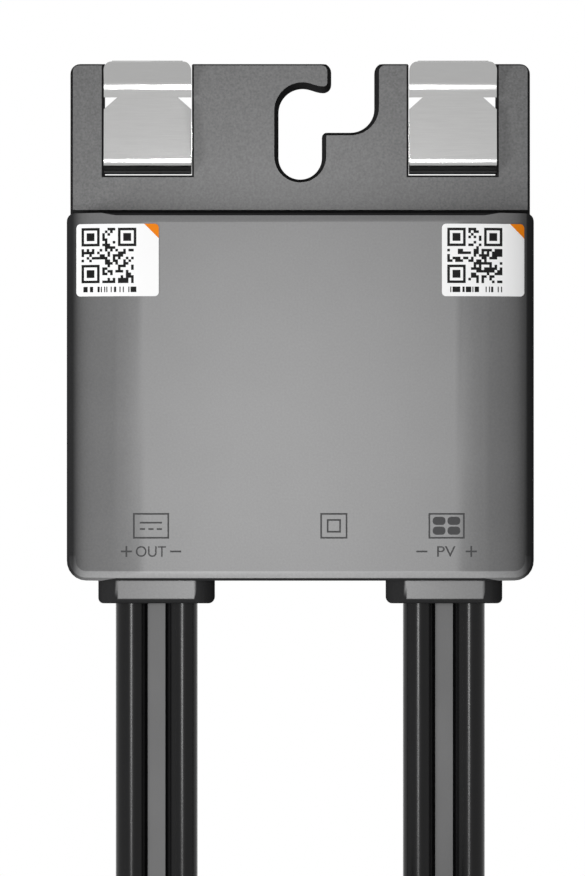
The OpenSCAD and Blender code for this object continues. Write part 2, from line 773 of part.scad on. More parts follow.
// Upright tabs at the board's lower edge, one for each core
module terminal_tabs() {
  tab_front = gland_y - inner_wire_d / 2;
  color(tinned_brass) for (x = core_places) {
    box_y(x, tab_z + tab_foot / 2, tab_w, tab_foot, board_front - tab_t, board_front);
    box_y(x, tab_z + tab_t / 2, tab_w, tab_t, tab_front, board_front);
  }
}

module inner_wires(side) {
  low = housing_low + wall + gland_flange_t;
  color(jacket_black) for (sc = [-0.5, 0.5]) translate([side * gland_x + sc * core_pitch, gland_y, low])
    cylinder(d = inner_wire_d, h = tab_z - low);
}

module inner_wires_out() { inner_wires(-1); }
module inner_wires_pv() { inner_wires(1); }

// Leads

module lead_out() { color(jacket_black) sweep(twin_profile, lead_out_route); }
module coil_out() { color(jacket_black) sweep(twin_profile, coil_route, last = coil_heading(coil_split)); }

// Two bands round the coil's turns; each stands at a step of the spiral, counted from the coil's top
module coil_ties() {
  half = coil_half_w + tie_gap;
  color(tie_black) for (steps = [0, 6]) {
    first = 0.75 - steps / turn_steps;
    low = coil_radius(first + coil_turns - 1) - core_d / 2 - tie_gap;
    high = coil_radius(first) + core_d / 2 + tie_gap;
    translate([-lead_x, coil_y, coil_z]) rotate([360 * steps / turn_steps, 0, 0])
      along_y(-tie_w / 2, tie_w / 2) difference() {
        polygon(rounded_box(2 * (half + tie_t), low - tie_t, high + tie_t, tie_t, tie_t));
        translate([-half, low]) square([2 * half, high - low]);
      }
  }
}

// Single core that leaves a twin lead to one side
module tail(route, x, side, first = down) {
  color(jacket_black) sweep(round_profile(core_d), [for (p = route) [x + side * p[0], p[1], p[2]]], first);
}

module tail_out_plus() { tail(tail_out_route, -lead_x, -1, coil_heading(coil_split)); }
module tail_out_minus() { tail(tail_out_route, -lead_x, 1, coil_heading(coil_split)); }
module lead_pv() { color(jacket_black) sweep(twin_profile, lead_pv_route); }
module tail_pv_minus() { tail(tail_pv_route, lead_x, -1); }
module tail_pv_plus() { tail(tail_pv_route, lead_x, 1); }

// Solar connectors, drawn downwards from the cable's entry

neck_d = plug_d - 5.6;
nut_top_d = 11;
// Corner radius of the nut's hexagon as a share of its round form
nut_hex = 1.07;
nut_mouth_l = 6;
seal_flange_t = 3;
cable_hole_d = core_d + 1.2;
contact_d = 5;
nose_d = 10.6;
sleeve_wall = 1.9;
body_top = -nut_mouth_l - seal_flange_t;
collar_low = -nut_l - plug_collar_l;
nose_low = collar_low - plug_nose_l;
contact_step = collar_low - 2;

module place_plug(x, end) {
  translate([x, end[0], end[1]]) children();
}

module connector_nut() {
  r = plug_d / 2 - 0.6;
  bore = neck_d / 2 + fit_gap;
  color(chip_black) intersection() {
    rotate_extrude() polygon([
      [cable_hole_d / 2 + fit_gap, 0], [nut_top_d / 2, 0], [r, -4.5], [r, -nut_l],
      [bore, -nut_l], [bore, -nut_mouth_l], [cable_hole_d / 2 + fit_gap, -nut_mouth_l]
    ]);
    translate([0, 0, -nut_l - cut]) cylinder(r = r * nut_hex, h = nut_l + 2 * cut, $fn = 6);
  }
}

module connector_seal() {
  color(rubber_black) rotate_extrude() polygon([
    [0, 0], [cable_hole_d / 2, 0], [cable_hole_d / 2, -nut_mouth_l - fit_gap],
    [neck_d / 2 - 0.4, -nut_mouth_l - fit_gap], [neck_d / 2 - 0.4, body_top], [0, body_top]
  ]);
}

// Neck under the nut and collar, shared by both kinds
module connector_barrel() {
  rotate_extrude() polygon([
    [0, body_top], [neck_d / 2, body_top], [neck_d / 2, -nut_l - fit_gap],
    [plug_d / 2 - 0.8, -nut_l - fit_gap], [plug_d / 2, -nut_l - 1],
    [plug_d / 2, collar_low + 1.5], [plug_d / 2 - 1.5, collar_low], [0, collar_low]
  ]);
}

module contact_bore(low) {
  translate([0, 0, low]) cylinder(d = contact_d + 2 * fit_gap, h = body_top - low + cut);
}

// Round nose with two latch arms
module plug_body() {
  arm_in = nose_d / 2 + 0.7;
  arm_w = 4.4;
  arm_t = 1.7;
  arm_l = plug_nose_l - 6;
  hook_t = 1.2;
  color(chip_black) difference() {
    union() {
      connector_barrel();
      translate([0, 0, nose_low]) cylinder(d = nose_d, h = plug_nose_l);
      for (turn = [0, 180]) rotate([0, 0, turn]) translate([arm_in, 0, collar_low])
        along_y(-arm_w / 2, arm_w / 2) polygon([
          [0, 0.5], [0, -arm_l], [arm_t * 0.6, -arm_l],
          [arm_t + hook_t, -arm_l + 4], [arm_t, -arm_l + 4.4], [arm_t, 0.5]
        ]);
    }
    contact_bore(nose_low - cut);
  }
}

// Flat-sided sleeve with a window for each latch
module socket_body() {
  inner_d = nose_d + 2;
  window_w = 5.2;
  window_low = 5;
  window_rim = 4;
  color(chip_black) difference() {
    union() {
      connector_barrel();
      intersection() {
        translate([0, 0, nose_low]) cylinder(d = plug_d - 0.6, h = plug_nose_l + 0.5);
        along_z(nose_low, collar_low + 0.5)
          polygon(rounded_box(plug_d, -inner_d / 2 - sleeve_wall, inner_d / 2 + sleeve_wall, 2, 2));
      }
    }
    translate([0, 0, nose_low - cut]) cylinder(d = inner_d, h = contact_step - nose_low + cut);
    translate([-plug_d, -window_w / 2, nose_low + window_low])
      cube([2 * plug_d, window_w, plug_nose_l - window_low - window_rim]);
    contact_bore(contact_step - cut);
  }
}

module plug_contact() {
  color(tinned_brass) difference() {
    translate([0, 0, nose_low + 2]) cylinder(d = contact_d, h = body_top - nose_low - 2);
    translate([0, 0, nose_low + 1]) cylinder(d = pin_d * 0.9, h = plug_nose_l * 0.7);
  }
}

module socket_contact() {
  color(tinned_brass) union() {
    translate([0, 0, contact_step]) cylinder(d = contact_d, h = body_top - contact_step);
    translate([0, 0, nose_low + 3]) cylinder(d = pin_d, h = plug_nose_l);
  }
}

module at_out_plus() { place_plug(-lead_x - tail_side, tail_out_end) children(); }
module at_out_minus() { place_plug(-lead_x + tail_side, tail_out_end) children(); }
module at_pv_minus() { place_plug(lead_x - tail_side, tail_pv_end) children(); }
module at_pv_plus() { place_plug(lead_x + tail_side, tail_pv_end) children(); }

front_cover();
rear_base();
cover_seal();
cover_screws();
spring_clip_left();
spring_clip_right();
label_left();
label_right();
gland_out();
gland_pv();
circuit_board();
board_screws();
inductor_core();
inductor_winding();
input_capacitors();
output_capacitors();
power_transistors();
heat_spreader();
thermal_pad();
control_chip();
terminal_tabs();
inner_wires_out();
inner_wires_pv();
lead_out();
coil_out();
coil_ties();
tail_out_plus();
tail_out_minus();
lead_pv();
tail_pv_minus();
tail_pv_plus();
at_out_plus() plug_body();  // plug_out_plus_body
at_out_plus() connector_nut();  // plug_out_plus_nut
at_out_plus() connector_seal();  // plug_out_plus_seal
at_out_plus() plug_contact();  // plug_out_plus_contact
at_out_minus() socket_body();  // socket_out_minus_body
at_out_minus() connector_nut();  // socket_out_minus_nut
at_out_minus() connector_seal();  // socket_out_minus_seal
at_out_minus() socket_contact();  // socket_out_minus_contact
at_pv_minus() plug_body();  // plug_pv_minus_body
at_pv_minus() connector_nut();  // plug_pv_minus_nut
at_pv_minus() connector_seal();  // plug_pv_minus_seal
at_pv_minus() plug_contact();  // plug_pv_minus_contact
at_pv_plus() socket_body();  // socket_pv_plus_body
at_pv_plus() connector_nut();  // socket_pv_plus_nut
at_pv_plus() connector_seal();  // socket_pv_plus_seal
at_pv_plus() socket_contact();  // socket_pv_plus_contact
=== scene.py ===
"""Looks of a solar power optimizer: satin housing, spring clips, stickers, marks and twin leads."""
import math

import bmesh
import bpy
from bpy.props import FloatProperty, FloatVectorProperty, IntProperty, PointerProperty
from mathutils import Matrix, Vector


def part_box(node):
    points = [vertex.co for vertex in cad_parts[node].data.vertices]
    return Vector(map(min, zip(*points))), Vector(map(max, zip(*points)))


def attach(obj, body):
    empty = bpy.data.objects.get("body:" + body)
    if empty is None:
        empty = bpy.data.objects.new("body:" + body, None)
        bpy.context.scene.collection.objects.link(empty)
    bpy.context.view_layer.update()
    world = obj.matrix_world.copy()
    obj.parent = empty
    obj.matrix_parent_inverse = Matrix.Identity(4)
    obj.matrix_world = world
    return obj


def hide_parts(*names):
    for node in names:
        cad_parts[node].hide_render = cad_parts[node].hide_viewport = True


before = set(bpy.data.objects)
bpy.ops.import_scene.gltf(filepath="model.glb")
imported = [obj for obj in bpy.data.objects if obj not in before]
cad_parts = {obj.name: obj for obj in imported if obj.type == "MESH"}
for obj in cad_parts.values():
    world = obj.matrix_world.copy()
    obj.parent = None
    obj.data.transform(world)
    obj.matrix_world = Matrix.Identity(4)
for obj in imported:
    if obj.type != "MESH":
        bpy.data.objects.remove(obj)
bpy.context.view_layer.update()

bl_info = {
    "name": "Power Optimizer Dresser",
    "version": (1, 0, 0),
    "blender": (4, 5, 0),
    "location": "View3D > Sidebar > Optimizer",
    "description": "Dresses the solids of a solar power optimizer with its finishes, leads and stage",
    "category": "Object",
}

BODY = "root"
MM = 0.001
COVER_LOW, COVER_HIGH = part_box("front_cover")
BASE_LOW, BASE_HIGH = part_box("rear_base")
LABEL_BOXES = {name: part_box(name) for name in ("label_left", "label_right")}
# Distance within which a corner counts as lying on a face, in metres
TOUCH = 0.0001

# Routes of the leads, the same points as in the solids, in metres
LEAD_X = 0.0288
LEAD_Y = -0.012
LEAD_TOP = -0.0898
COIL_Y = -0.0612
COIL_Z = -0.2
LEAD_PV_LOW = -0.17
TAIL_OUT_LOW = -0.312
TAIL_PV_LOW = -0.22
TAIL_SIDE = 0.0115
CONNECTORS = ("plug_out_plus", "socket_out_minus", "plug_pv_minus", "socket_pv_plus")


def size_prop(name, text, value):
    """Length in metres, shown with the scene's unit."""
    return FloatProperty(name=name, description=text, default=value, unit="LENGTH", precision=5)


def colour_prop(name, text, value):
    """Colour of a surface, in linear values."""
    return FloatVectorProperty(name=name, description=text, default=value, size=3, subtype="COLOR",
                               min=0, max=1)


def power_prop(name, text, value):
    """Power of a lamp in watts."""
    return FloatProperty(name=name, description=text, default=value, unit="POWER")


class OptimizerFinish(bpy.types.PropertyGroup):
    """Colours of the surfaces."""
    cover_face: colour_prop("Cover", "Front of the housing", (0.138, 0.138, 0.139))
    base_face: colour_prop("Plate", "Front of the bracket plate", (0.106, 0.106, 0.107))
    # Darker colour that steep edges take: painted shade standing in for the little light that reaches
    # them
    painted_edge_shade: colour_prop("Sides", "Walls that turn away from the front", (0.025, 0.025, 0.0256))
    steel: colour_prop("Spring steel", "Folded clips", (0.42, 0.42, 0.416))
    film: colour_prop("Sticker", "White film of the stickers", (0.9, 0.9, 0.9))
    corner: colour_prop("Sticker corner", "Orange corner of the stickers", (0.8, 0.22, 0.008))
    code_ink: colour_prop("Code ink", "Blocks printed on the stickers", (0.012, 0.012, 0.012))
    mark_ink: colour_prop("Mark ink", "Marks printed on the housing", (0.05, 0.05, 0.0515))
    jacket: colour_prop("Jacket", "Sheath of the leads", (0.004, 0.004, 0.0043))
    # The web's grey is a painted sheen: the web is the jacket's black, lighter where its flat front
    # catches the light
    web: colour_prop("Web", "Flat web between the cores", (0.14, 0.14, 0.141))
    connector: colour_prop("Connector", "Moulded connectors", (0.016, 0.016, 0.017))


class OptimizerSizes(bpy.types.PropertyGroup):
    """Sizes that only the looks use."""
    cover_edge: size_prop("Cover edge", "Rounding of the housing's edges", 0.0002)
    clip_edge: size_prop("Clip edge", "Rounding of the stamped strip's edges", 0.00012)
    small_edge: size_prop("Small edge", "Rounding of the connectors", 0.0003)
    trim_edge: size_prop("Trim edge", "Rounding of the glands and the ties", 0.0002)
    roll_width: size_prop("Roll-off width", "Width of the roll-off down the sides of the front", 0.016)
    roll_depth: size_prop("Roll-off depth", "Depth of the roll-off at the side walls", 0.0054)
    mark_line: size_prop("Mark line", "Line width of the printed marks", 0.00033)
    mark_film: size_prop("Mark film", "Thickness of the printed marks", 0.00003)
    core_diameter: size_prop("Core diameter", "Outside of each round core", 0.0062)
    core_pitch: size_prop("Core pitch", "Distance between the two cores of a lead", 0.0102)
    web_thickness: size_prop("Web thickness", "Thickness of the flat web", 0.002)
    coil_outer: size_prop("Coil outside", "Radius of the coil's outermost turn", 0.0492)
    coil_inner: size_prop("Coil inside", "Radius of the coil's innermost turn", 0.0236)
    coil_turns: IntProperty(name="Coil turns", description="Turns of the stored length", default=4,
                            min=1)


class OptimizerStage(bpy.types.PropertyGroup):
    """Camera and lamps."""
    camera_distance: size_prop("Camera distance", "From the camera to the rim of the housing", 0.9)
    view_height: size_prop("View height", "Height that the picture spans at the rim", 0.1752)
    view_x: size_prop("View centre across", "Middle of the picture", -0.00156)
    view_z: size_prop("View centre up", "Middle of the picture", -0.0568)
    floor_z: size_prop("Floor", "Height of the floor below the hanging leads", -0.5)
    key_power: power_prop("Key", "Power of the front lamp", 1.75)
    left_power: power_prop("Left", "Power of the lamp at the left", 2.0)
    fill_power: power_prop("Fill", "Power of each lamp behind", 2.5)
    ambient: FloatProperty(name="Ambient", description="Even light from all round", default=0.14,
                           min=0)


def finish():
    return bpy.context.scene.optimizer_finish


def sizes():
    return bpy.context.scene.optimizer_sizes


# Shader helpers

def new_material(name):
    material = bpy.data.materials.new(name)
    material.use_nodes = True
    tree = material.node_tree
    return material, tree, tree.nodes["Principled BSDF"]


def node(tree, kind, **values):
    made = tree.nodes.new(kind)
    for key, value in values.items():
        setattr(made, key, value)
    return made


def link(tree, source, target):
    tree.links.new(source, target)


def math_node(tree, operation, first, second=None, third=None, clamp=False):
    """Math node whose inputs are sockets or plain numbers."""
    made = node(tree, "ShaderNodeMath", operation=operation, use_clamp=clamp)
    for index, value in enumerate((first, second, third)):
        if value is None:
            continue
        if isinstance(value, (int, float)):
            made.inputs[index].default_value = value
        else:
            link(tree, value, made.inputs[index])
    return made.outputs[0]


def map_range(tree, value, low, high):
    """Spreads a value from 0 to 1 over another range."""
    made = node(tree, "ShaderNodeMapRange")
    made.inputs["To Min"].default_value = low
    made.inputs["To Max"].default_value = high
    link(tree, value, made.inputs["Value"])
    return made.outputs["Result"]


def mix_colour(tree, factor, first, second):
    made = node(tree, "ShaderNodeMix", data_type="RGBA")
    factor_in, first_in, second_in = made.inputs[0], made.inputs[6], made.inputs[7]
    for socket, value in ((factor_in, factor), (first_in, first), (second_in, second)):
        if isinstance(value, bpy.types.NodeSocket):
            link(tree, value, socket)
        elif isinstance(value, (int, float)):
            socket.default_value = value
        else:
            socket.default_value = (*value, 1)
    return made.outputs[2]


def new_group(name, inputs, outputs):
    """Empty shader group; inputs and outputs map socket names to (type, default)."""
    group = bpy.data.node_groups.new(name, "ShaderNodeTree")
    for label, (kind, value) in inputs.items():
        socket = group.interface.new_socket(label, in_out="INPUT", socket_type=kind)
        socket.default_value = value
    for label, kind in outputs.items():
        group.interface.new_socket(label, in_out="OUTPUT", socket_type=kind)
    return group, node(group, "NodeGroupInput"), node(group, "NodeGroupOutput")


def grain_group():
    """Fine spark-eroded grain of a moulded surface: a height and a mottle mask."""
    group, given, out = new_group(
        "moulded_grain",
        {"Grain Size": ("NodeSocketFloat", 2500.0), "Mottle Size": ("NodeSocketFloat", 90.0)},
        {"Height": "NodeSocketFloat", "Mottle": "NodeSocketFloat"})
    place = node(group, "ShaderNodeTexCoord")
    fine = node(group, "ShaderNodeTexNoise")
    fine.inputs["Detail"].default_value = 3
    broad = node(group, "ShaderNodeTexNoise")
    broad.inputs["Detail"].default_value = 2
    for texture, size in ((fine, "Grain Size"), (broad, "Mottle Size")):
        link(group, place.outputs["Object"], texture.inputs["Vector"])
        link(group, given.outputs[size], texture.inputs["Scale"])
    link(group, fine.outputs["Fac"], out.inputs["Height"])
    link(group, broad.outputs["Fac"], out.inputs["Mottle"])
    return group


def painted_shade_group():
    """Painted shade by the way a wall faces: front and back keep the face colour, and steep edges take
    a darker one that stands in for shade.

    Walls behind one depth or below one height are straight outer walls and keep the front's tone.
    """
    group, given, out = new_group(
        "painted_facing_shade",
        {"Face": ("NodeSocketColor", (0.3, 0.3, 0.3, 1)),
         "Side": ("NodeSocketColor", (0.03, 0.03, 0.03, 1)),
         "From": ("NodeSocketFloat", 0.7), "To": ("NodeSocketFloat", 1.0),
         "Walls Behind": ("NodeSocketFloat", 1.0), "Walls Below": ("NodeSocketFloat", -1.0)},
        {"Color": "NodeSocketColor", "Facing": "NodeSocketFloat"})
    geometry = node(group, "ShaderNodeNewGeometry")
    parts = node(group, "ShaderNodeSeparateXYZ")
    link(group, geometry.outputs["Normal"], parts.inputs[0])
    facing = math_node(group, "ABSOLUTE", parts.outputs["Y"])
    ramp = node(group, "ShaderNodeMapRange", interpolation_type="SMOOTHSTEP")
    link(group, facing, ramp.inputs["Value"])
    link(group, given.outputs["From"], ramp.inputs["From Min"])
    link(group, given.outputs["To"], ramp.inputs["From Max"])
    place = node(group, "ShaderNodeTexCoord")
    spot = node(group, "ShaderNodeSeparateXYZ")
    link(group, place.outputs["Object"], spot.inputs[0])
    behind = math_node(group, "GREATER_THAN", spot.outputs["Y"], given.outputs["Walls Behind"])
    below = math_node(group, "LESS_THAN", spot.outputs["Z"], given.outputs["Walls Below"])
    straight = math_node(group, "MAXIMUM", behind, below)
    share = math_node(group, "MAXIMUM", ramp.outputs["Result"], straight)
    blend = mix_colour(group, share, given.outputs["Side"], given.outputs["Face"])
    link(group, blend, out.inputs["Color"])
    link(group, share, out.inputs["Facing"])
    return group


# Share of the painted highlight band's far limit at which it begins to fade
BAND_FADE = 0.9


def highlight_band_group():
    """Painted highlight along the lower edge of the housing's front, which stands in for light caught
    by its bottom chamfer: a mask.
    """
    group, given, out = new_group(
        "painted_edge_highlight",
        {"Half Width": ("NodeSocketFloat", COVER_HIGH.x), "Low": ("NodeSocketFloat", COVER_LOW.z),
         "Corner": ("NodeSocketFloat", 0.004), "Near": ("NodeSocketFloat", 0.0006),
         "Far": ("NodeSocketFloat", 0.002), "Fade": ("NodeSocketFloat", 0.005)},
        {"Mask": "NodeSocketFloat"})
    place = node(group, "ShaderNodeTexCoord")
    parts = node(group, "ShaderNodeSeparateXYZ")
    link(group, place.outputs["Object"], parts.inputs[0])
    corner = given.outputs["Corner"]
    side = math_node(group, "ABSOLUTE", parts.outputs["X"])
    beyond = math_node(group, "SUBTRACT", side, given.outputs["Half Width"])
    side = math_node(group, "ADD", beyond, corner)
    rise = math_node(group, "SUBTRACT", parts.outputs["Z"], given.outputs["Low"])
    drop = math_node(group, "SUBTRACT", corner, rise)
    square = [math_node(group, "POWER", math_node(group, "MAXIMUM", way, 0.0), 2.0)
              for way in (side, drop)]
    reach = math_node(group, "SQRT", math_node(group, "ADD", *square))
    inner = math_node(group, "MINIMUM", math_node(group, "MAXIMUM", side, drop), 0.0)
    depth = math_node(group, "SUBTRACT", corner, math_node(group, "ADD", reach, inner))
    mask = math_node(group, "GREATER_THAN", depth, given.outputs["Near"])
    soft = node(group, "ShaderNodeMapRange", interpolation_type="SMOOTHSTEP")
    link(group, depth, soft.inputs["Value"])
    link(group, given.outputs["Far"], soft.inputs["From Max"])
    fade_from = math_node(group, "MULTIPLY", given.outputs["Far"], BAND_FADE)
    link(group, fade_from, soft.inputs["From Min"])
    soft.inputs["To Min"].default_value = 1
    soft.inputs["To Max"].default_value = 0
    mask = math_node(group, "MULTIPLY", mask, soft.outputs["Result"])
    share = math_node(group, "DIVIDE", rise, given.outputs["Fade"])
    fade = math_node(group, "SUBTRACT", 1.0, share, clamp=True)
    mask = math_node(group, "MULTIPLY", mask, math_node(group, "SQRT", fade))
    link(group, mask, out.inputs["Mask"])
    return group


# Scale of the rolling lines along X, Y and Z
LINE_STRETCH = (0.02, 1, 1)


def brushed_group():
    """Rolling lines of a metal strip, drawn out along X: a value for height, tone and gloss."""
    group, given, out = new_group(
        "rolled_lines", {"Lines": ("NodeSocketFloat", 9000.0)}, {"Fleck": "NodeSocketFloat"})
    place = node(group, "ShaderNodeTexCoord")
    stretch = node(group, "ShaderNodeMapping")
    stretch.inputs["Scale"].default_value = LINE_STRETCH
    texture = node(group, "ShaderNodeTexNoise")
    texture.inputs["Detail"].default_value = 4
    link(group, place.outputs["Object"], stretch.inputs["Vector"])
    link(group, stretch.outputs["Vector"], texture.inputs["Vector"])
    link(group, given.outputs["Lines"], texture.inputs["Scale"])
    link(group, texture.outputs["Fac"], out.inputs["Fleck"])
    return group


def shared_group(name, maker):
    return bpy.data.node_groups.get(name) or maker()


def add_bump(tree, shader, height, strength):
    bump = node(tree, "ShaderNodeBump")
    bump.inputs["Strength"].default_value = strength
    bump.inputs["Distance"].default_value = RELIEF
    link(tree, height, bump.inputs["Height"])
    link(tree, bump.outputs["Normal"], shader.inputs["Normal"])


# Depth of the grain, of the rolling lines and of a sheath's waviness, in metres
RELIEF = 0.0001
# How far the mottle and the roughness of moulded plastic swing about their middle
MOTTLE_SWING = 0.07
ROUGH_SWING = 0.06


def scaled(colour, share):
    """A darker or lighter tone of a colour."""
    return tuple(share * c for c in colour)


def moulded_material(name, face, side, rough=0.28, speckle=0.15, sheen_ior=1.3, dark_from=0.7,
                     painted_highlight=0, walls_behind=1.0, walls_below=-1.0):
    """Satin moulded plastic with a fine grain, glossier on its front than its edges, with painted shade
    on its steep edges and, where asked, a painted highlight band.
    """
    material, tree, shader = new_material(name)
    # Painted shade: the colour darkens on steep edges by the way they face
    tone = node(tree, "ShaderNodeGroup", node_tree=shared_group("painted_facing_shade", painted_shade_group))
    tone.inputs["Face"].default_value = (*face, 1)
    tone.inputs["Side"].default_value = (*side, 1)
    tone.inputs["From"].default_value = dark_from
    tone.inputs["Walls Behind"].default_value = walls_behind
    tone.inputs["Walls Below"].default_value = walls_below
    skin = node(tree, "ShaderNodeGroup", node_tree=shared_group("moulded_grain", grain_group))
    mottle = map_range(tree, skin.outputs["Mottle"], 1 - MOTTLE_SWING, 1 + MOTTLE_SWING)
    dots = map_range(tree, skin.outputs["Height"], 1 - speckle, 1 + speckle)
    tint = node(tree, "ShaderNodeMix", data_type="RGBA", blend_type="MULTIPLY")
    tint.inputs[0].default_value = 1
    link(tree, tone.outputs["Color"], tint.inputs[6])
    shade = math_node(tree, "MULTIPLY", mottle, dots)
    # Painted highlight: lightens the band along the lower edge of the front
    if painted_highlight:
        edge = node(tree, "ShaderNodeGroup", node_tree=shared_group("painted_edge_highlight", highlight_band_group))
        highlight_lift = math_node(tree, "MULTIPLY_ADD", edge.outputs["Mask"], painted_highlight, 1)
        shade = math_node(tree, "MULTIPLY", shade, highlight_lift)
    link(tree, shade, tint.inputs[7])
    link(tree, tint.outputs[2], shader.inputs["Base Color"])
    uneven = map_range(tree, skin.outputs["Height"], rough - ROUGH_SWING, rough + ROUGH_SWING)
    link(tree, uneven, shader.inputs["Roughness"])
    shader.inputs["Specular IOR Level"].default_value = 0
    link(tree, tone.outputs["Facing"], shader.inputs["Coat Weight"])
    shader.inputs["Coat Roughness"].default_value = rough
    shader.inputs["Coat IOR"].default_value = sheen_ior
    add_bump(tree, shader, skin.outputs["Height"], 0.15)
    return material


def metal_material(name, colour, rough=0.15, lines=9000.0):
    """Rolled metal with fine lines along its width."""
    material, tree, shader = new_material(name)
    rolled = node(tree, "ShaderNodeGroup", node_tree=shared_group("rolled_lines", brushed_group))
    rolled.inputs["Lines"].default_value = lines
    fleck = rolled.outputs["Fleck"]
    tone = mix_colour(tree, fleck, scaled(colour, 0.93), scaled(colour, 1.05))
    link(tree, tone, shader.inputs["Base Color"])
    link(tree, map_range(tree, fleck, rough - 0.04, rough + 0.04), shader.inputs["Roughness"])
    shader.inputs["Metallic"].default_value = 1
    add_bump(tree, shader, fleck, 0.05)
    return material


def jacket_material(name, colour, rough=0.23, gloss=0.2):
    """Smooth extruded sheath with faint waviness."""
    material, tree, shader = new_material(name)
    skin = node(tree, "ShaderNodeGroup", node_tree=shared_group("moulded_grain", grain_group))
    skin.inputs["Grain Size"].default_value = 1200
    skin.inputs["Mottle Size"].default_value = 60
    mottle = skin.outputs["Mottle"]
    tone = mix_colour(tree, mottle, scaled(colour, 0.85), scaled(colour, 1.2))
    link(tree, tone, shader.inputs["Base Color"])
    link(tree, map_range(tree, mottle, rough - 0.04, rough + 0.06), shader.inputs["Roughness"])
    shader.inputs["Specular IOR Level"].default_value = gloss
    add_bump(tree, shader, skin.outputs["Height"], 0.01)
    return material


# Print of a sticker, in millimetres from its middle
CODE_LEFT = -7.2
CODE_LOW = -4.6
CODE_CELLS = 21
CODE_CELL = 0.524
CORNER_SIZE = 2.9
BAR_LOW = -6.4
BAR_HIGH = -5.3
BAR_STEP = 0.22
# Chance values above which a cell of the code or a bar is printed, and where their draws begin
CODE_CHANCE = 0.52
BAR_CHANCE = 0.45
FIRST_DRAW = 1.5
BAR_DRAW = 40
# Corner eyes of the code, in cells from its corner or from the eye's middle
EYE_MIDDLE = 3.5
EYE_DOT = 1.5
EYE_RING = (2.5, 3.5)
EYE_CLEAR = 4.5


def sticker_material(name, low, high, seed):
    """White film with an orange corner, a made-up block code and a row of bars."""
    material, tree, shader = new_material(name)
    middle = (low + high) / 2
    half_w = (high.x - low.x) / 2 / MM
    half_h = (high.z - low.z) / 2 / MM
    place = node(tree, "ShaderNodeTexCoord")
    parts = node(tree, "ShaderNodeSeparateXYZ")
    link(tree, place.outputs["Object"], parts.inputs[0])

    def across(socket, centre):
        return math_node(tree, "MULTIPLY_ADD", socket, 1 / MM, -centre / MM)

    def within(value, start, end):
        after = math_node(tree, "GREATER_THAN", value, start)
        before = math_node(tree, "LESS_THAN", value, end)
        return math_node(tree, "MULTIPLY", after, before)

    def both(first, second):
        return math_node(tree, "MULTIPLY", first, second)

    x = across(parts.outputs["X"], middle.x)
    z = across(parts.outputs["Z"], middle.z)
    column = math_node(tree, "MULTIPLY_ADD", x, 1 / CODE_CELL, -CODE_LEFT / CODE_CELL)
    row = math_node(tree, "MULTIPLY_ADD", z, 1 / CODE_CELL, -CODE_LOW / CODE_CELL)
    cell = node(tree, "ShaderNodeCombineXYZ")
    link(tree, math_node(tree, "FLOOR", column), cell.inputs["X"])
    link(tree, math_node(tree, "FLOOR", row), cell.inputs["Y"])
    cell.inputs["Z"].default_value = seed
    chance = node(tree, "ShaderNodeTexWhiteNoise", noise_dimensions="3D")
    link(tree, cell.outputs[0], chance.inputs["Vector"])
    blocks = math_node(tree, "GREATER_THAN", chance.outputs["Value"], CODE_CHANCE)
    inside = both(within(column, 0, CODE_CELLS), within(row, 0, CODE_CELLS))
    ink = both(blocks, inside)
    near = EYE_MIDDLE
    far = CODE_CELLS - EYE_MIDDLE
    for corner_x, corner_z in ((near, near), (near, far), (far, far)):
        off_x = math_node(tree, "ABSOLUTE", math_node(tree, "SUBTRACT", column, corner_x))
        off_z = math_node(tree, "ABSOLUTE", math_node(tree, "SUBTRACT", row, corner_z))
        ring = math_node(tree, "MAXIMUM", off_x, off_z)
        clear = math_node(tree, "GREATER_THAN", ring, EYE_CLEAR)
        dot = math_node(tree, "LESS_THAN", ring, EYE_DOT)
        eye = math_node(tree, "ADD", dot, within(ring, *EYE_RING))
        ink = math_node(tree, "ADD", both(ink, clear), eye, clamp=True)
    bar = math_node(tree, "FLOOR", math_node(tree, "DIVIDE", x, BAR_STEP))
    bar_chance = node(tree, "ShaderNodeTexWhiteNoise", noise_dimensions="1D")
    link(tree, math_node(tree, "ADD", bar, seed * BAR_DRAW), bar_chance.inputs["W"])
    bars = math_node(tree, "GREATER_THAN", bar_chance.outputs["Value"], BAR_CHANCE)
    code_right = CODE_LEFT + CODE_CELLS * CODE_CELL
    strip = both(within(x, CODE_LEFT, code_right), within(z, BAR_LOW, BAR_HIGH))
    ink = math_node(tree, "MAXIMUM", ink, both(bars, strip))
    past_side = math_node(tree, "SUBTRACT", x, half_w)
    past_top = math_node(tree, "SUBTRACT", z, half_h)
    slope = math_node(tree, "ADD", past_side, past_top)
    corner = math_node(tree, "GREATER_THAN", slope, -CORNER_SIZE)
    colours = finish()
    printed = mix_colour(tree, ink, colours.film, colours.code_ink)
    link(tree, mix_colour(tree, corner, printed, colours.corner), shader.inputs["Base Color"])
    shader.inputs["Roughness"].default_value = 0.5
    shader.inputs["Specular IOR Level"].default_value = 0.05
    return material


# Mesh helpers

def add_object(name, mesh, material):
    made = bpy.data.objects.new(name, mesh)
    bpy.context.scene.collection.objects.link(made)
    if material:
        mesh.materials.clear()
        mesh.materials.append(material)
    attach(made, BODY)
    return made


def mesh_from(bm, name, sharp_angle=35):
    """Mesh of a finished bmesh, smooth apart from its sharp edges."""
    mesh = bpy.data.meshes.new(name)
    bm.to_mesh(mesh)
    bm.free()
    old_normals = mesh.attributes.get("custom_normal")
    if old_normals:
        mesh.attributes.remove(old_normals)
    mesh.polygons.foreach_set("use_smooth", [True] * len(mesh.polygons))
    mesh.set_sharp_from_angle(angle=math.radians(sharp_angle))
    mesh.update()
    return mesh


# Distance at which loose corners are joined, and the turn in degrees below which faces are one
WELD = 2e-6
FLAT_ANGLE = 0.6


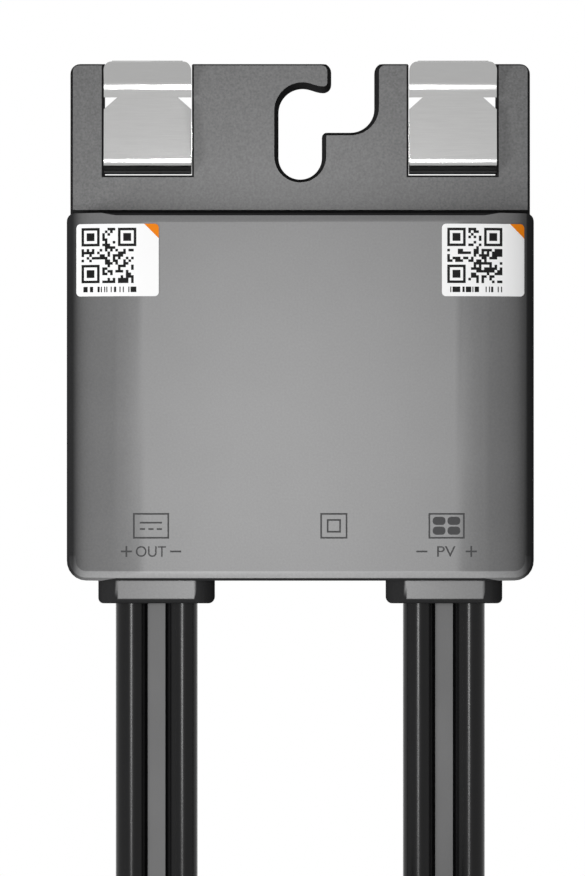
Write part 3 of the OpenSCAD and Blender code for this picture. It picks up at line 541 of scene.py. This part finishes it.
def merged_copy(cad_node):
    """Bmesh of a CAD node with its loose triangles joined into whole flat faces."""
    bm = bmesh.new()
    bm.from_mesh(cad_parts[cad_node].data)
    bmesh.ops.remove_doubles(bm, verts=bm.verts[:], dist=WELD)
    bmesh.ops.dissolve_limit(bm, angle_limit=math.radians(FLAT_ANGLE), verts=bm.verts[:],
                             edges=bm.edges[:])
    return bm


def soften_edges(bm, width, angle=30, segments=3, keep=None):
    """Rounds the edges that turn by more than the angle."""
    edges = [e for e in bm.edges if len(e.link_faces) == 2
             and e.calc_face_angle(0) > math.radians(angle) and (keep is None or keep(e))]
    bmesh.ops.bevel(bm, geom=edges, offset=width, offset_type="OFFSET", affect="EDGES",
                    segments=segments, profile=0.5, material=-1, clamp_overlap=True)


def dress(cad_node, name, material, width, angle=30, segments=3, keep=None):
    """Piece that stands for a CAD node, with its edges rounded."""
    bm = merged_copy(cad_node)
    soften_edges(bm, width, angle, segments, keep)
    made = add_object(name, mesh_from(bm, name), material)
    even_shading(made)
    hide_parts(cad_node)
    return made


def even_shading(made):
    """Lets the large flat faces keep their own normals beside the small rounded edges."""
    modifier = made.modifiers.new("even_shading", "WEIGHTED_NORMAL")
    modifier.keep_sharp = True
    modifier.weight = 80


def paint(cad_node, material):
    """Gives a CAD node that stays its finish."""
    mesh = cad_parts[cad_node].data
    mesh.materials.clear()
    mesh.materials.append(material)


def front_depth(x):
    """Depth of the housing's front at a place across it."""
    s = sizes()
    reach = abs(x) - (COVER_HIGH.x - s.roll_width)
    share = min(max(reach / s.roll_width, 0), 1)
    return COVER_LOW.y + s.roll_depth * (1 - math.sqrt(1 - share * share))


# Lamps: the place of each, and the width and height of the oval that shines, in metres
KEY_PLACE = (-0.008, -0.6, -0.074)
KEY_OVAL = (0.05, 0.26)
LEFT_PLACE = (-0.45, -0.4, -0.2)
LEFT_OVAL = (0.2, 0.2)
FILL_SIDE = 0.35
FILL_BACK = 0.6
FILL_UP = 0.25
FILL_OVAL = (0.3, 0.3)
# Floor: half its width in metres, its tone, and the share of white that the camera sees on it
FLOOR_HALF = 1.5
FLOOR_TONE = (0.82, 0.82, 0.82, 1)
FLOOR_GLOW = 0.7
SENSOR_MM = 36


class OPTIMIZER_OT_stage(bpy.types.Operator):
    """Sets up the floor, the light and the camera"""
    bl_idname = "optimizer.stage"
    bl_label = "Stage"

    def execute(self, context):
        s = bpy.context.scene.optimizer_stage
        self.light_world(s.ambient)
        self.lay_floor(s.floor_z)
        rim = COVER_LOW.y + sizes().roll_depth
        target = Vector((0, rim, s.view_z))
        self.lamp("key_lamp", KEY_PLACE, target, KEY_OVAL, s.key_power)
        left = self.lamp("left_lamp", LEFT_PLACE, target, LEFT_OVAL, s.left_power)
        left.visible_glossy = False
        for side in (-1, 1):
            place = (side * FILL_SIDE, FILL_BACK, FILL_UP)
            fill = self.lamp("fill_lamp", place, target, FILL_OVAL, s.fill_power)
            fill.visible_glossy = False
        self.place_camera(s, rim)
        bpy.context.scene.view_settings.view_transform = "Standard"
        return {"FINISHED"}

    def light_world(self, ambient):
        """White behind all that is seen directly or mirrored, and a low even light on the object."""
        world = bpy.data.worlds.new("studio")
        world.use_nodes = True
        bpy.context.scene.world = world
        tree = world.node_tree
        background = tree.nodes["Background"]
        path = node(tree, "ShaderNodeLightPath")
        seen = path.outputs["Is Camera Ray"]
        mirrored = path.outputs["Is Glossy Ray"]
        shown = math_node(tree, "ADD", seen, mirrored, clamp=True)
        shown = math_node(tree, "ADD", shown, path.outputs["Is Transmission Ray"], clamp=True)
        strength = math_node(tree, "MULTIPLY_ADD", shown, 1 - ambient, ambient)
        background.inputs["Color"].default_value = (1, 1, 1, 1)
        link(tree, strength, background.inputs["Strength"])

    def lay_floor(self, height):
        bm = bmesh.new()
        bmesh.ops.create_grid(bm, x_segments=1, y_segments=1, size=FLOOR_HALF,
                              matrix=Matrix.Translation((0, 0, height)))
        mesh = bpy.data.meshes.new("floor")
        bm.to_mesh(mesh)
        bm.free()
        mesh.materials.append(self.pale_floor())
        floor = bpy.data.objects.new("floor", mesh)
        bpy.context.scene.collection.objects.link(floor)

    def pale_floor(self):
        """Pale and matt where it is seen, and as white as the backdrop where metal mirrors it."""
        material, tree, shader = new_material("pale_floor")
        shader.inputs["Base Color"].default_value = FLOOR_TONE
        shader.inputs["Roughness"].default_value = 0.8
        glow = node(tree, "ShaderNodeEmission")
        glow.inputs["Strength"].default_value = 1
        path = node(tree, "ShaderNodeLightPath")
        mirrored = math_node(tree, "ADD", path.outputs["Is Glossy Ray"],
                             path.outputs["Is Transmission Ray"], clamp=True)
        shown = math_node(tree, "MULTIPLY_ADD", path.outputs["Is Camera Ray"], FLOOR_GLOW, mirrored,
                          clamp=True)
        blend = node(tree, "ShaderNodeMixShader")
        link(tree, shown, blend.inputs[0])
        link(tree, shader.outputs[0], blend.inputs[1])
        link(tree, glow.outputs[0], blend.inputs[2])
        link(tree, blend.outputs[0], tree.nodes["Material Output"].inputs["Surface"])
        return material

    def lamp(self, name, place, target, size, power):
        """Oval area lamp that faces a point and isn't seen itself."""
        light = bpy.data.lights.new(name, "AREA")
        light.shape = "ELLIPSE"
        light.size, light.size_y = size
        light.energy = power
        made = bpy.data.objects.new(name, light)
        made.location = place
        made.rotation_euler = (target - Vector(place)).to_track_quat("-Z", "Y").to_euler()
        made.visible_camera = False
        bpy.context.scene.collection.objects.link(made)
        return made

    def place_camera(self, s, rim):
        camera = bpy.data.cameras.new("camera")
        camera.sensor_width = SENSOR_MM
        camera.lens = camera.sensor_width * s.camera_distance / s.view_height
        made = bpy.data.objects.new("camera", camera)
        made.location = (s.view_x, rim - s.camera_distance, s.view_z)
        made.rotation_euler = (math.pi / 2, 0, 0)
        bpy.context.scene.collection.objects.link(made)
        bpy.context.scene.camera = made


# How far behind the roll-off the straight walls of the cover begin, and the width of its rim
SHOULDER_GAP = 0.0004
COVER_RIM = 0.0025


class OPTIMIZER_OT_housing(bpy.types.Operator):
    """Dresses the cover and the rear base with its bracket plate"""
    bl_idname = "optimizer.housing"
    bl_label = "Housing"

    def execute(self, context):
        f = finish()
        s = sizes()
        shoulder = COVER_LOW.y + s.roll_depth + SHOULDER_GAP
        # The cover and the plate take painted shade on their steep edges, and the cover a painted
        # highlight along its lower edge
        cover = moulded_material("satin_cover", f.cover_face, f.painted_edge_shade, rough=0.32, sheen_ior=1.365,
                                 dark_from=0.77, painted_highlight=1.2, walls_behind=shoulder)
        base = moulded_material("satin_base", f.base_face, f.painted_edge_shade, speckle=0.6,
                                walls_below=COVER_HIGH.z)
        dress("front_cover", "cover_shell", cover, s.cover_edge, angle=20,
              keep=self.outer_rim)
        dress("rear_base", "base_shell", base, s.cover_edge, segments=2,
              keep=self.back_rim)
        return {"FINISHED"}

    def outer_rim(self, edge):
        """True for the edges round the outside of the cover's front."""
        for v in edge.verts:
            inside = min(COVER_HIGH.z - v.co.z, v.co.z - COVER_LOW.z, COVER_HIGH.x - abs(v.co.x))
            if inside > COVER_RIM:
                return False
        return all(v.co.y < BASE_LOW.y - TOUCH for v in edge.verts)

    def back_rim(self, edge):
        """True for the outer edges of the flat back."""
        for v in edge.verts:
            inside = min(BASE_HIGH.z - v.co.z, v.co.z - BASE_LOW.z, BASE_HIGH.x - abs(v.co.x))
            if inside > TOUCH:
                return False
        return all(BASE_HIGH.y - v.co.y < TOUCH for v in edge.verts)


class OPTIMIZER_OT_clips(bpy.types.Operator):
    """Dresses the two folded spring clips"""
    bl_idname = "optimizer.clips"
    bl_label = "Spring clips"

    def execute(self, context):
        steel = metal_material("rolled_spring_steel", finish().steel)
        for side in ("left", "right"):
            dress("spring_clip_" + side, "clip_strip_" + side, steel,
                  sizes().clip_edge, angle=50, segments=2)
        return {"FINISHED"}


class OPTIMIZER_OT_stickers(bpy.types.Operator):
    """Prints the two stickers"""
    bl_idname = "optimizer.stickers"
    bl_label = "Stickers"

    def execute(self, context):
        for seed, (name, (low, high)) in enumerate(LABEL_BOXES.items()):
            film = sticker_material("printed_film_" + name, low, high, seed + FIRST_DRAW)
            bm = merged_copy(name)
            piece = name.replace("label", "sticker")
            made = add_object(piece, mesh_from(bm, name), film)
            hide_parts(name)
        return {"FINISHED"}


# Places of the printed marks, in metres: first the heights of the frames and of the words below
FRAME_LOW = -0.0768
FRAME_HIGH = -0.07172
WORD_Z = -0.07936
SIGN_SIZE = 0.0022
# Output: left and right of its frame, then its line and its three dashes
OUTPUT_FRAME = (-0.03327, -0.02609)
OUTPUT_LINE = (-0.0319, -0.0275)
OUTPUT_LINE_Z = (-0.0738, -0.07347)
DASH_Z = (-0.07507, -0.07474)
DASH_STEP = 0.00168
DASH_LENGTH = 0.00103
OUTPUT_PLUS = -0.03459
OUTPUT_MINUS = -0.0248
OUTPUT_WORD = -0.0297
OUTPUT_WORD_SIZE = (0.00212, 0.006)
# Double insulation: the outer and the inner square
OUTER_SQUARE = (0.00397, 0.00935)
INNER_SQUARE = (0.00526, 0.00806, -0.0756, -0.07293)
# Input: its frame, and the middles, half size and corner of its four cells
INPUT_FRAME = (0.02548, 0.03267)
CELL_X = (0.02758, 0.03052)
CELL_Z = (-0.07327, -0.07522)
CELL_HALF_W = 0.00127
CELL_HALF_H = 0.00081
CELL_CORNER = 0.0007
INPUT_MINUS = 0.02415
INPUT_PLUS = 0.03398
INPUT_WORD = 0.02902
INPUT_WORD_SIZE = (0.0021, 0.00365)
# Share of its film by which the middle of a mark stands in front of the surface
FILM_PROUD = 0.4
# Cuts across a mark where the front rolls off, their spacing, and the merging distance
BEND_CUTS = 9
BEND_STEP = 0.0005
MERGE = 1e-7


class OPTIMIZER_OT_marks(bpy.types.Operator):
    """Prints the marks for output, input and double insulation on the front"""
    bl_idname = "optimizer.marks"
    bl_label = "Printed marks"

    def execute(self, context):
        ink, tree, shader = new_material("mark_ink")
        skin = node(tree, "ShaderNodeGroup", node_tree=shared_group("moulded_grain", grain_group))
        tone = finish().mark_ink
        shade = mix_colour(tree, skin.outputs["Mottle"], scaled(tone, 0.9), scaled(tone, 1.1))
        link(tree, shade, shader.inputs["Base Color"])
        shader.inputs["Roughness"].default_value = 0.6
        shader.inputs["Specular IOR Level"].default_value = 0.2
        self.line = sizes().mark_line
        self.output_mark(ink)
        self.insulation_mark(ink)
        self.input_mark(ink)
        return {"FINISHED"}

    def bar(self, bm, left, right, low, high):
        """Printed bar between two corners, in metres."""
        place = Matrix.Translation(((left + right) / 2, 0, (low + high) / 2))
        size = Matrix.Diagonal((right - left, sizes().mark_film, high - low, 1))
        bmesh.ops.create_cube(bm, size=1, matrix=place @ size)

    def frame(self, bm, left, right, low, high):
        t = self.line
        self.bar(bm, left, right, high - t, high)
        self.bar(bm, left, right, low, low + t)
        self.bar(bm, left, left + t, low + t, high - t)
        self.bar(bm, right - t, right, low + t, high - t)

    def sign(self, bm, x, z, size, plus):
        t = self.line
        self.bar(bm, x - size / 2, x + size / 2, z - t / 2, z + t / 2)
        if plus:
            self.bar(bm, x - t / 2, x + t / 2, z + t / 2, z + size / 2)
            self.bar(bm, x - t / 2, x + t / 2, z - size / 2, z - t / 2)

    def word(self, bm, text, x, z, height, width):
        """Adds a word of plain capitals, fitted to its height and width."""
        curve = bpy.data.curves.new(text, "FONT")
        curve.body = text
        curve.extrude = sizes().mark_film / 2
        letters = bpy.data.objects.new(text, curve)
        bpy.context.scene.collection.objects.link(letters)
        bpy.context.view_layer.update()
        mesh = bpy.data.meshes.new_from_object(letters)
        bpy.data.objects.remove(letters)
        low = Vector(map(min, *[v.co for v in mesh.vertices]))
        high = Vector(map(max, *[v.co for v in mesh.vertices]))
        fit = Matrix.Diagonal((width / (high.x - low.x), height / (high.y - low.y), 1, 1))
        turn = Matrix.Rotation(math.pi / 2, 4, "X")
        middle = (low + high) / 2
        mesh.transform(Matrix.Translation((x, 0, z)) @ turn @ fit @ Matrix.Translation(-middle))
        bm.from_mesh(mesh)

    def lay(self, bm, name, ink):
        """Lays flat print on the curve of the housing's front."""
        bmesh.ops.remove_doubles(bm, verts=bm.verts[:], dist=MERGE)
        self.cut_for_curve(bm)
        film = sizes().mark_film
        for v in bm.verts:
            v.co.y += front_depth(v.co.x) - film * FILM_PROUD
        add_object(name, mesh_from(bm, name), ink)

    def cut_for_curve(self, bm):
        """Cuts the print across at short steps where the front rolls off, so that it can bend there."""
        flat = COVER_HIGH.x - sizes().roll_width
        for side in (-1, 1):
            for step in range(BEND_CUTS):
                geom = bm.verts[:] + bm.edges[:] + bm.faces[:]
                place = (side * (flat + step * BEND_STEP), 0, 0)
                bmesh.ops.bisect_plane(bm, geom=geom, dist=MERGE, plane_co=place, plane_no=(1, 0, 0))

    def output_mark(self, ink):
        bm = bmesh.new()
        self.frame(bm, *OUTPUT_FRAME, FRAME_LOW, FRAME_HIGH)
        self.bar(bm, *OUTPUT_LINE, *OUTPUT_LINE_Z)
        for step in range(3):
            left = OUTPUT_LINE[0] + step * DASH_STEP
            self.bar(bm, left, left + DASH_LENGTH, *DASH_Z)
        self.sign(bm, OUTPUT_PLUS, WORD_Z, SIGN_SIZE, True)
        self.sign(bm, OUTPUT_MINUS, WORD_Z, SIGN_SIZE, False)
        self.word(bm, "OUT", OUTPUT_WORD, WORD_Z, *OUTPUT_WORD_SIZE)
        self.lay(bm, "mark_output", ink)

    def insulation_mark(self, ink):
        bm = bmesh.new()
        self.frame(bm, *OUTER_SQUARE, FRAME_LOW, FRAME_HIGH)
        self.frame(bm, *INNER_SQUARE)
        self.lay(bm, "mark_double_insulation", ink)

    def input_mark(self, ink):
        bm = bmesh.new()
        self.frame(bm, *INPUT_FRAME, FRAME_LOW, FRAME_HIGH)
        for x in CELL_X:
            for z in CELL_Z:
                cell = bmesh.new()
                self.bar(cell, x - CELL_HALF_W, x + CELL_HALF_W, z - CELL_HALF_H, z + CELL_HALF_H)
                upright = [e for e in cell.edges if abs(e.verts[0].co.y - e.verts[1].co.y) > MERGE]
                bmesh.ops.bevel(cell, geom=upright, offset=CELL_CORNER, offset_type="OFFSET",
                                affect="EDGES", segments=4, profile=0.5, material=-1)
                scrap = bpy.data.meshes.new("cell")
                cell.to_mesh(scrap)
                cell.free()
                bm.from_mesh(scrap)
                bpy.data.meshes.remove(scrap)
        self.sign(bm, INPUT_MINUS, WORD_Z, SIGN_SIZE, False)
        self.sign(bm, INPUT_PLUS, WORD_Z, SIGN_SIZE, True)
        self.word(bm, "PV", INPUT_WORD, WORD_Z, *INPUT_WORD_SIZE)
        self.lay(bm, "mark_input", ink)


class OPTIMIZER_OT_glands(bpy.types.Operator):
    """Dresses the two cable glands"""
    bl_idname = "optimizer.glands"
    bl_label = "Cable glands"

    def execute(self, context):
        f = finish()
        # The glands take painted shade on their rounded ends
        plastic = moulded_material("satin_gland", f.cover_face, f.painted_edge_shade, dark_from=0.985)
        for name in ("gland_out", "gland_pv"):
            dress(name, name + "_collar", plastic, sizes().trim_edge, angle=40,
                  segments=2)
        return {"FINISHED"}


# Points along a lead: down to the coil or split, round each turn, and along the parting tails
DROP_STEPS = 8
TURN_STEPS = 48
TAIL_STEPS = 16
# Share of the last turn in which the two cores part
PART_TURN = 0.25
# Web: how far its skin reaches under the cores, its share of the thickness, and the rib's gap
SKIN_UNDER = 0.001
SKIN_SHARE = 0.4
RIB_GAP = 0.0005


class OPTIMIZER_OT_leads(bpy.types.Operator):
    """Lays the twin leads, the stored coil and the split tails"""
    bl_idname = "optimizer.leads"
    bl_label = "Leads"

    def execute(self, context):
        f = finish()
        self.s = sizes()
        self.black = jacket_material("black_jacket", f.jacket)
        # Web rib: lighter grey as painted sheen; valley skin: unglossed black as painted shade
        self.sheen_grey = jacket_material("web_painted_sheen", f.web, 0.6)
        # Painted shade: an unglossed black skin that blackens the valleys between the web and the cores
        self.matt = jacket_material("matt_valley_shade", f.jacket, 0.9, 0)
        web_out = self.webs("web_out", self.out_spine())
        web_pv = self.webs("web_pv", [Vector((LEAD_X, LEAD_Y, z)) for z in (LEAD_TOP, LEAD_PV_LOW)])
        self.out_core("core_out_plus", -1, ("lead_out", "coil_out", "tail_out_plus"),
                      "plug_out_plus", web_out)
        self.out_core("core_out_minus", 1, ("tail_out_minus",), "socket_out_minus", [])
        self.pv_core("core_pv_minus", -1, ("lead_pv", "tail_pv_minus"), "plug_pv_minus", web_pv)
        self.pv_core("core_pv_plus", 1, ("tail_pv_plus",), "socket_pv_plus", [])
        return {"FINISHED"}

    def drop(self, x, low):
        """Points straight down from the gland, which stop one step above a height."""
        step = (low - LEAD_TOP) / DROP_STEPS
        return [Vector((x, LEAD_Y, LEAD_TOP + step * i)) for i in range(DROP_STEPS)]

    def coil_point(self, turn):
        """Place on the coil's spiral after a number of turns, in depth and height."""
        s = self.s
        r = s.coil_outer + (s.coil_inner - s.coil_outer) * turn / s.coil_turns
        a = 2 * math.pi * turn
        return COIL_Y + r * math.cos(a), COIL_Z - r * math.sin(a)

    def out_spine(self):
        """Middle of the twin lead from the gland to where its web is split."""
        last = self.s.coil_turns - PART_TURN
        count = round(last * TURN_STEPS)
        turns = [Vector((-LEAD_X, *self.coil_point(last * i / count))) for i in range(count + 1)]
        return self.drop(-LEAD_X, COIL_Z) + turns

    def out_route(self, side):
        """One core of the output lead: down, round the coil, and down again to its connector."""
        s = self.s
        count = round(s.coil_turns * TURN_STEPS)
        points = self.drop(-LEAD_X + side * s.core_pitch / 2, COIL_Z)
        split = s.coil_turns - PART_TURN
        for i in range(count + 1):
            turn = s.coil_turns * i / count
            x = -LEAD_X + side * self.spread((turn - split) / PART_TURN)
            points.append(Vector((x, *self.coil_point(turn))))
        for i in range(1, DROP_STEPS + 1):
            z = COIL_Z + (TAIL_OUT_LOW - COIL_Z) * i / DROP_STEPS
            points.append(Vector((-LEAD_X + side * TAIL_SIDE, COIL_Y + s.coil_inner, z)))
        return points

    def spread(self, t):
        """Distance of a core from the lead's middle while the two part."""
        t = min(max(t, 0), 1)
        near = self.s.core_pitch / 2
        return near + (TAIL_SIDE - near) * t * t * (3 - 2 * t)

    def tube(self, name, points):
        curve = bpy.data.curves.new(name, "CURVE")
        curve.dimensions = "3D"
        spline = curve.splines.new("POLY")
        spline.points.add(len(points) - 1)
        for target, point in zip(spline.points, points):
            target.co = (*point, 1)
        spline.use_smooth = True
        curve.bevel_depth = self.s.core_diameter / 2
        curve.bevel_resolution = 6
        curve.use_fill_caps = True
        curve.materials.append(self.black)
        made = bpy.data.objects.new(name, curve)
        bpy.context.scene.collection.objects.link(made)
        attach(made, BODY)
        return made

    def declare(self, made, points, connector, webs, lay):
        pieces = [bpy.data.objects[connector + part] for part in ("_shell", "_grip")]
        pieces += [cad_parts[connector + part] for part in ("_seal", "_contact")]

    def out_core(self, name, side, stands_for, connector, webs):
        points = self.out_route(side)
        made = self.tube(name, points)
        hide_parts(*stands_for)
        self.declare(made, points, connector, webs, "coiled")

    def pv_core(self, name, side, stands_for, connector, webs):
        points = self.drop(LEAD_X + side * self.s.core_pitch / 2, LEAD_PV_LOW)
        fall = TAIL_PV_LOW - LEAD_PV_LOW
        for i in range(TAIL_STEPS + 1):
            share = i / TAIL_STEPS
            x = LEAD_X + side * self.spread(share)
            points.append(Vector((x, LEAD_Y, LEAD_PV_LOW + fall * share)))
        made = self.tube(name, points)
        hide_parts(*stands_for)
        self.declare(made, points, connector, webs, "hanging")

    def webs(self, name, spine):
        """The web between two cores: a thin black skin, unglossed as painted shade in the valleys
        beside the cores, and the rib along its middle, whose grey is a painted sheen.
        """
        s = self.s
        gap = s.core_pitch - s.core_diameter
        skin_thickness = s.web_thickness * SKIN_SHARE
        skin = self.strip(name + "_skin", spine, gap + SKIN_UNDER, skin_thickness, self.matt)
        rib = self.strip(name + "_rib", spine, gap - RIB_GAP, s.web_thickness, self.sheen_grey)
        return [skin, rib]

    def strip(self, name, spine, width, thickness, material):
        """Flat strip along the middle of a lead: its end face is extruded from point to point."""
        bm = bmesh.new()
        bmesh.ops.create_grid(bm, x_segments=1, y_segments=1, size=1)
        end = bm.faces[:]
        section = Matrix.Diagonal((width / 2, thickness / 2, 1, 1))
        bmesh.ops.transform(bm, verts=bm.verts[:], matrix=section)
        here = self.station(spine, 0)
        bmesh.ops.transform(bm, verts=bm.verts[:], matrix=here)
        for i in range(1, len(spine)):
            there = self.station(spine, i)
            grown = bmesh.ops.extrude_face_region(bm, geom=end, use_keep_orig=(i == 1))
            end = [g for g in grown["geom"] if isinstance(g, bmesh.types.BMFace)]
            corners = [g for g in grown["geom"] if isinstance(g, bmesh.types.BMVert)]
            bmesh.ops.transform(bm, verts=corners, matrix=there @ here.inverted())
            here = there
        bmesh.ops.recalc_face_normals(bm, faces=bm.faces[:])
        return add_object(name, mesh_from(bm, name), material)

    def station(self, spine, i):
        """Frame at a point of a route: X stays across the lead and Z runs along it."""
        along = (spine[min(i + 1, len(spine) - 1)] - spine[max(i - 1, 0)]).normalized()
        across = Vector((1, 0, 0))
        up = along.cross(across)
        turn = Matrix((across, up, along)).transposed().to_4x4()
        return Matrix.Translation(spine[i]) @ turn


# Tones of the small and hidden pieces
RUBBER = (0.02, 0.02, 0.02)
TINNED = (0.7, 0.62, 0.45)
STRAP = (0.03, 0.03, 0.03)
SCREW = (0.45, 0.45, 0.46)
CHIP = (0.02, 0.02, 0.02)
SOLDER_MASK = (0.02, 0.16, 0.07)
BOARD_EDGE = (0.2, 0.16, 0.08)
FERRITE = (0.06, 0.06, 0.065)
COPPER = (0.6, 0.28, 0.14)
CAPACITOR = (0.04, 0.09, 0.28)
ALLOY = (0.7, 0.71, 0.72)
GAP_FILLER = (0.55, 0.36, 0.38)


class OPTIMIZER_OT_connectors(bpy.types.Operator):
    """Dresses the solar connectors at the ends of the tails"""
    bl_idname = "optimizer.connectors"
    bl_label = "Connectors"

    def execute(self, context):
        f = finish()
        width = sizes().small_edge
        plastic = moulded_material("moulded_connector", f.connector, f.connector, 0.4)
        rubber = jacket_material("connector_rubber", RUBBER, 0.6, 0.3)
        tinned = metal_material("tinned_contact", TINNED)
        for name in CONNECTORS:
            dress(name + "_body", name + "_shell", plastic, width, angle=40,
                  segments=2)
            dress(name + "_nut", name + "_grip", plastic, width, angle=25,
                  segments=2)
            paint(name + "_seal", rubber)
            paint(name + "_contact", tinned)
        return {"FINISHED"}


class OPTIMIZER_OT_ties(bpy.types.Operator):
    """Dresses the ties round the coil"""
    bl_idname = "optimizer.ties"
    bl_label = "Coil ties"

    def execute(self, context):
        strap = moulded_material("strap", STRAP, STRAP, 0.6)
        dress("coil_ties", "coil_straps", strap, sizes().trim_edge, angle=40,
              segments=2)
        return {"FINISHED"}


class OPTIMIZER_OT_inside(bpy.types.Operator):
    """Gives the fasteners and the pieces inside the housing their finishes"""
    bl_idname = "optimizer.inside"
    bl_label = "Inside and fasteners"

    def execute(self, context):
        screw = metal_material("plated_screw", SCREW, 0.3)
        rubber = jacket_material("seal_rubber", RUBBER, 0.6, 0.3)
        chip = moulded_material("chip_package", CHIP, CHIP, 0.6)
        capacitor = moulded_material("capacitor_case", CAPACITOR, CAPACITOR, 0.35)
        finishes = {
            "cover_screws": screw, "board_screws": screw, "cover_seal": rubber,
            "power_transistors": chip, "control_chip": chip,
            "circuit_board": moulded_material("solder_mask", SOLDER_MASK, BOARD_EDGE, 0.35),
            "inductor_core": moulded_material("ferrite", FERRITE, FERRITE, 0.5),
            "inductor_winding": metal_material("enamelled_copper", COPPER),
            "input_capacitors": capacitor, "output_capacitors": capacitor,
            "heat_spreader": metal_material("spreader_alloy", ALLOY),
            "thermal_pad": moulded_material("gap_filler", GAP_FILLER, GAP_FILLER, 0.8),
            "terminal_tabs": metal_material("tinned_tab", TINNED),
            "inner_wires_out": rubber, "inner_wires_pv": rubber,
        }
        for name, material in finishes.items():
            paint(name, material)
        return {"FINISHED"}


class OPTIMIZER_PT_dresser(bpy.types.Panel):
    """Sidebar panel that lists the dressing steps"""
    bl_idname = "OPTIMIZER_PT_dresser"
    bl_label = "Power optimizer"
    bl_space_type = "VIEW_3D"
    bl_region_type = "UI"
    bl_category = "Optimizer"

    def draw(self, context):
        column = self.layout.column()
        for step in STEPS:
            column.operator(step.bl_idname)


GROUPS = {
    "optimizer_finish": OptimizerFinish,
    "optimizer_sizes": OptimizerSizes,
    "optimizer_stage": OptimizerStage,
}
# In the order in which they run: the leads look up the dressed connectors, so those come first
STEPS = (
    OPTIMIZER_OT_stage, OPTIMIZER_OT_connectors, OPTIMIZER_OT_leads, OPTIMIZER_OT_housing,
    OPTIMIZER_OT_clips, OPTIMIZER_OT_stickers, OPTIMIZER_OT_marks, OPTIMIZER_OT_glands,
    OPTIMIZER_OT_ties, OPTIMIZER_OT_inside,
)


def register():
    for name, group in GROUPS.items():
        bpy.utils.register_class(group)
        setattr(bpy.types.Scene, name, PointerProperty(type=group))
    for step in (*STEPS, OPTIMIZER_PT_dresser):
        bpy.utils.register_class(step)


def unregister():
    for step in reversed((*STEPS, OPTIMIZER_PT_dresser)):
        bpy.utils.unregister_class(step)
    for name, group in GROUPS.items():
        delattr(bpy.types.Scene, name)
        bpy.utils.unregister_class(group)


def main():
    register()
    for step in STEPS:
        group, name = step.bl_idname.split(".")
        getattr(getattr(bpy.ops, group), name)()


if __name__ == "__main__":
    main()
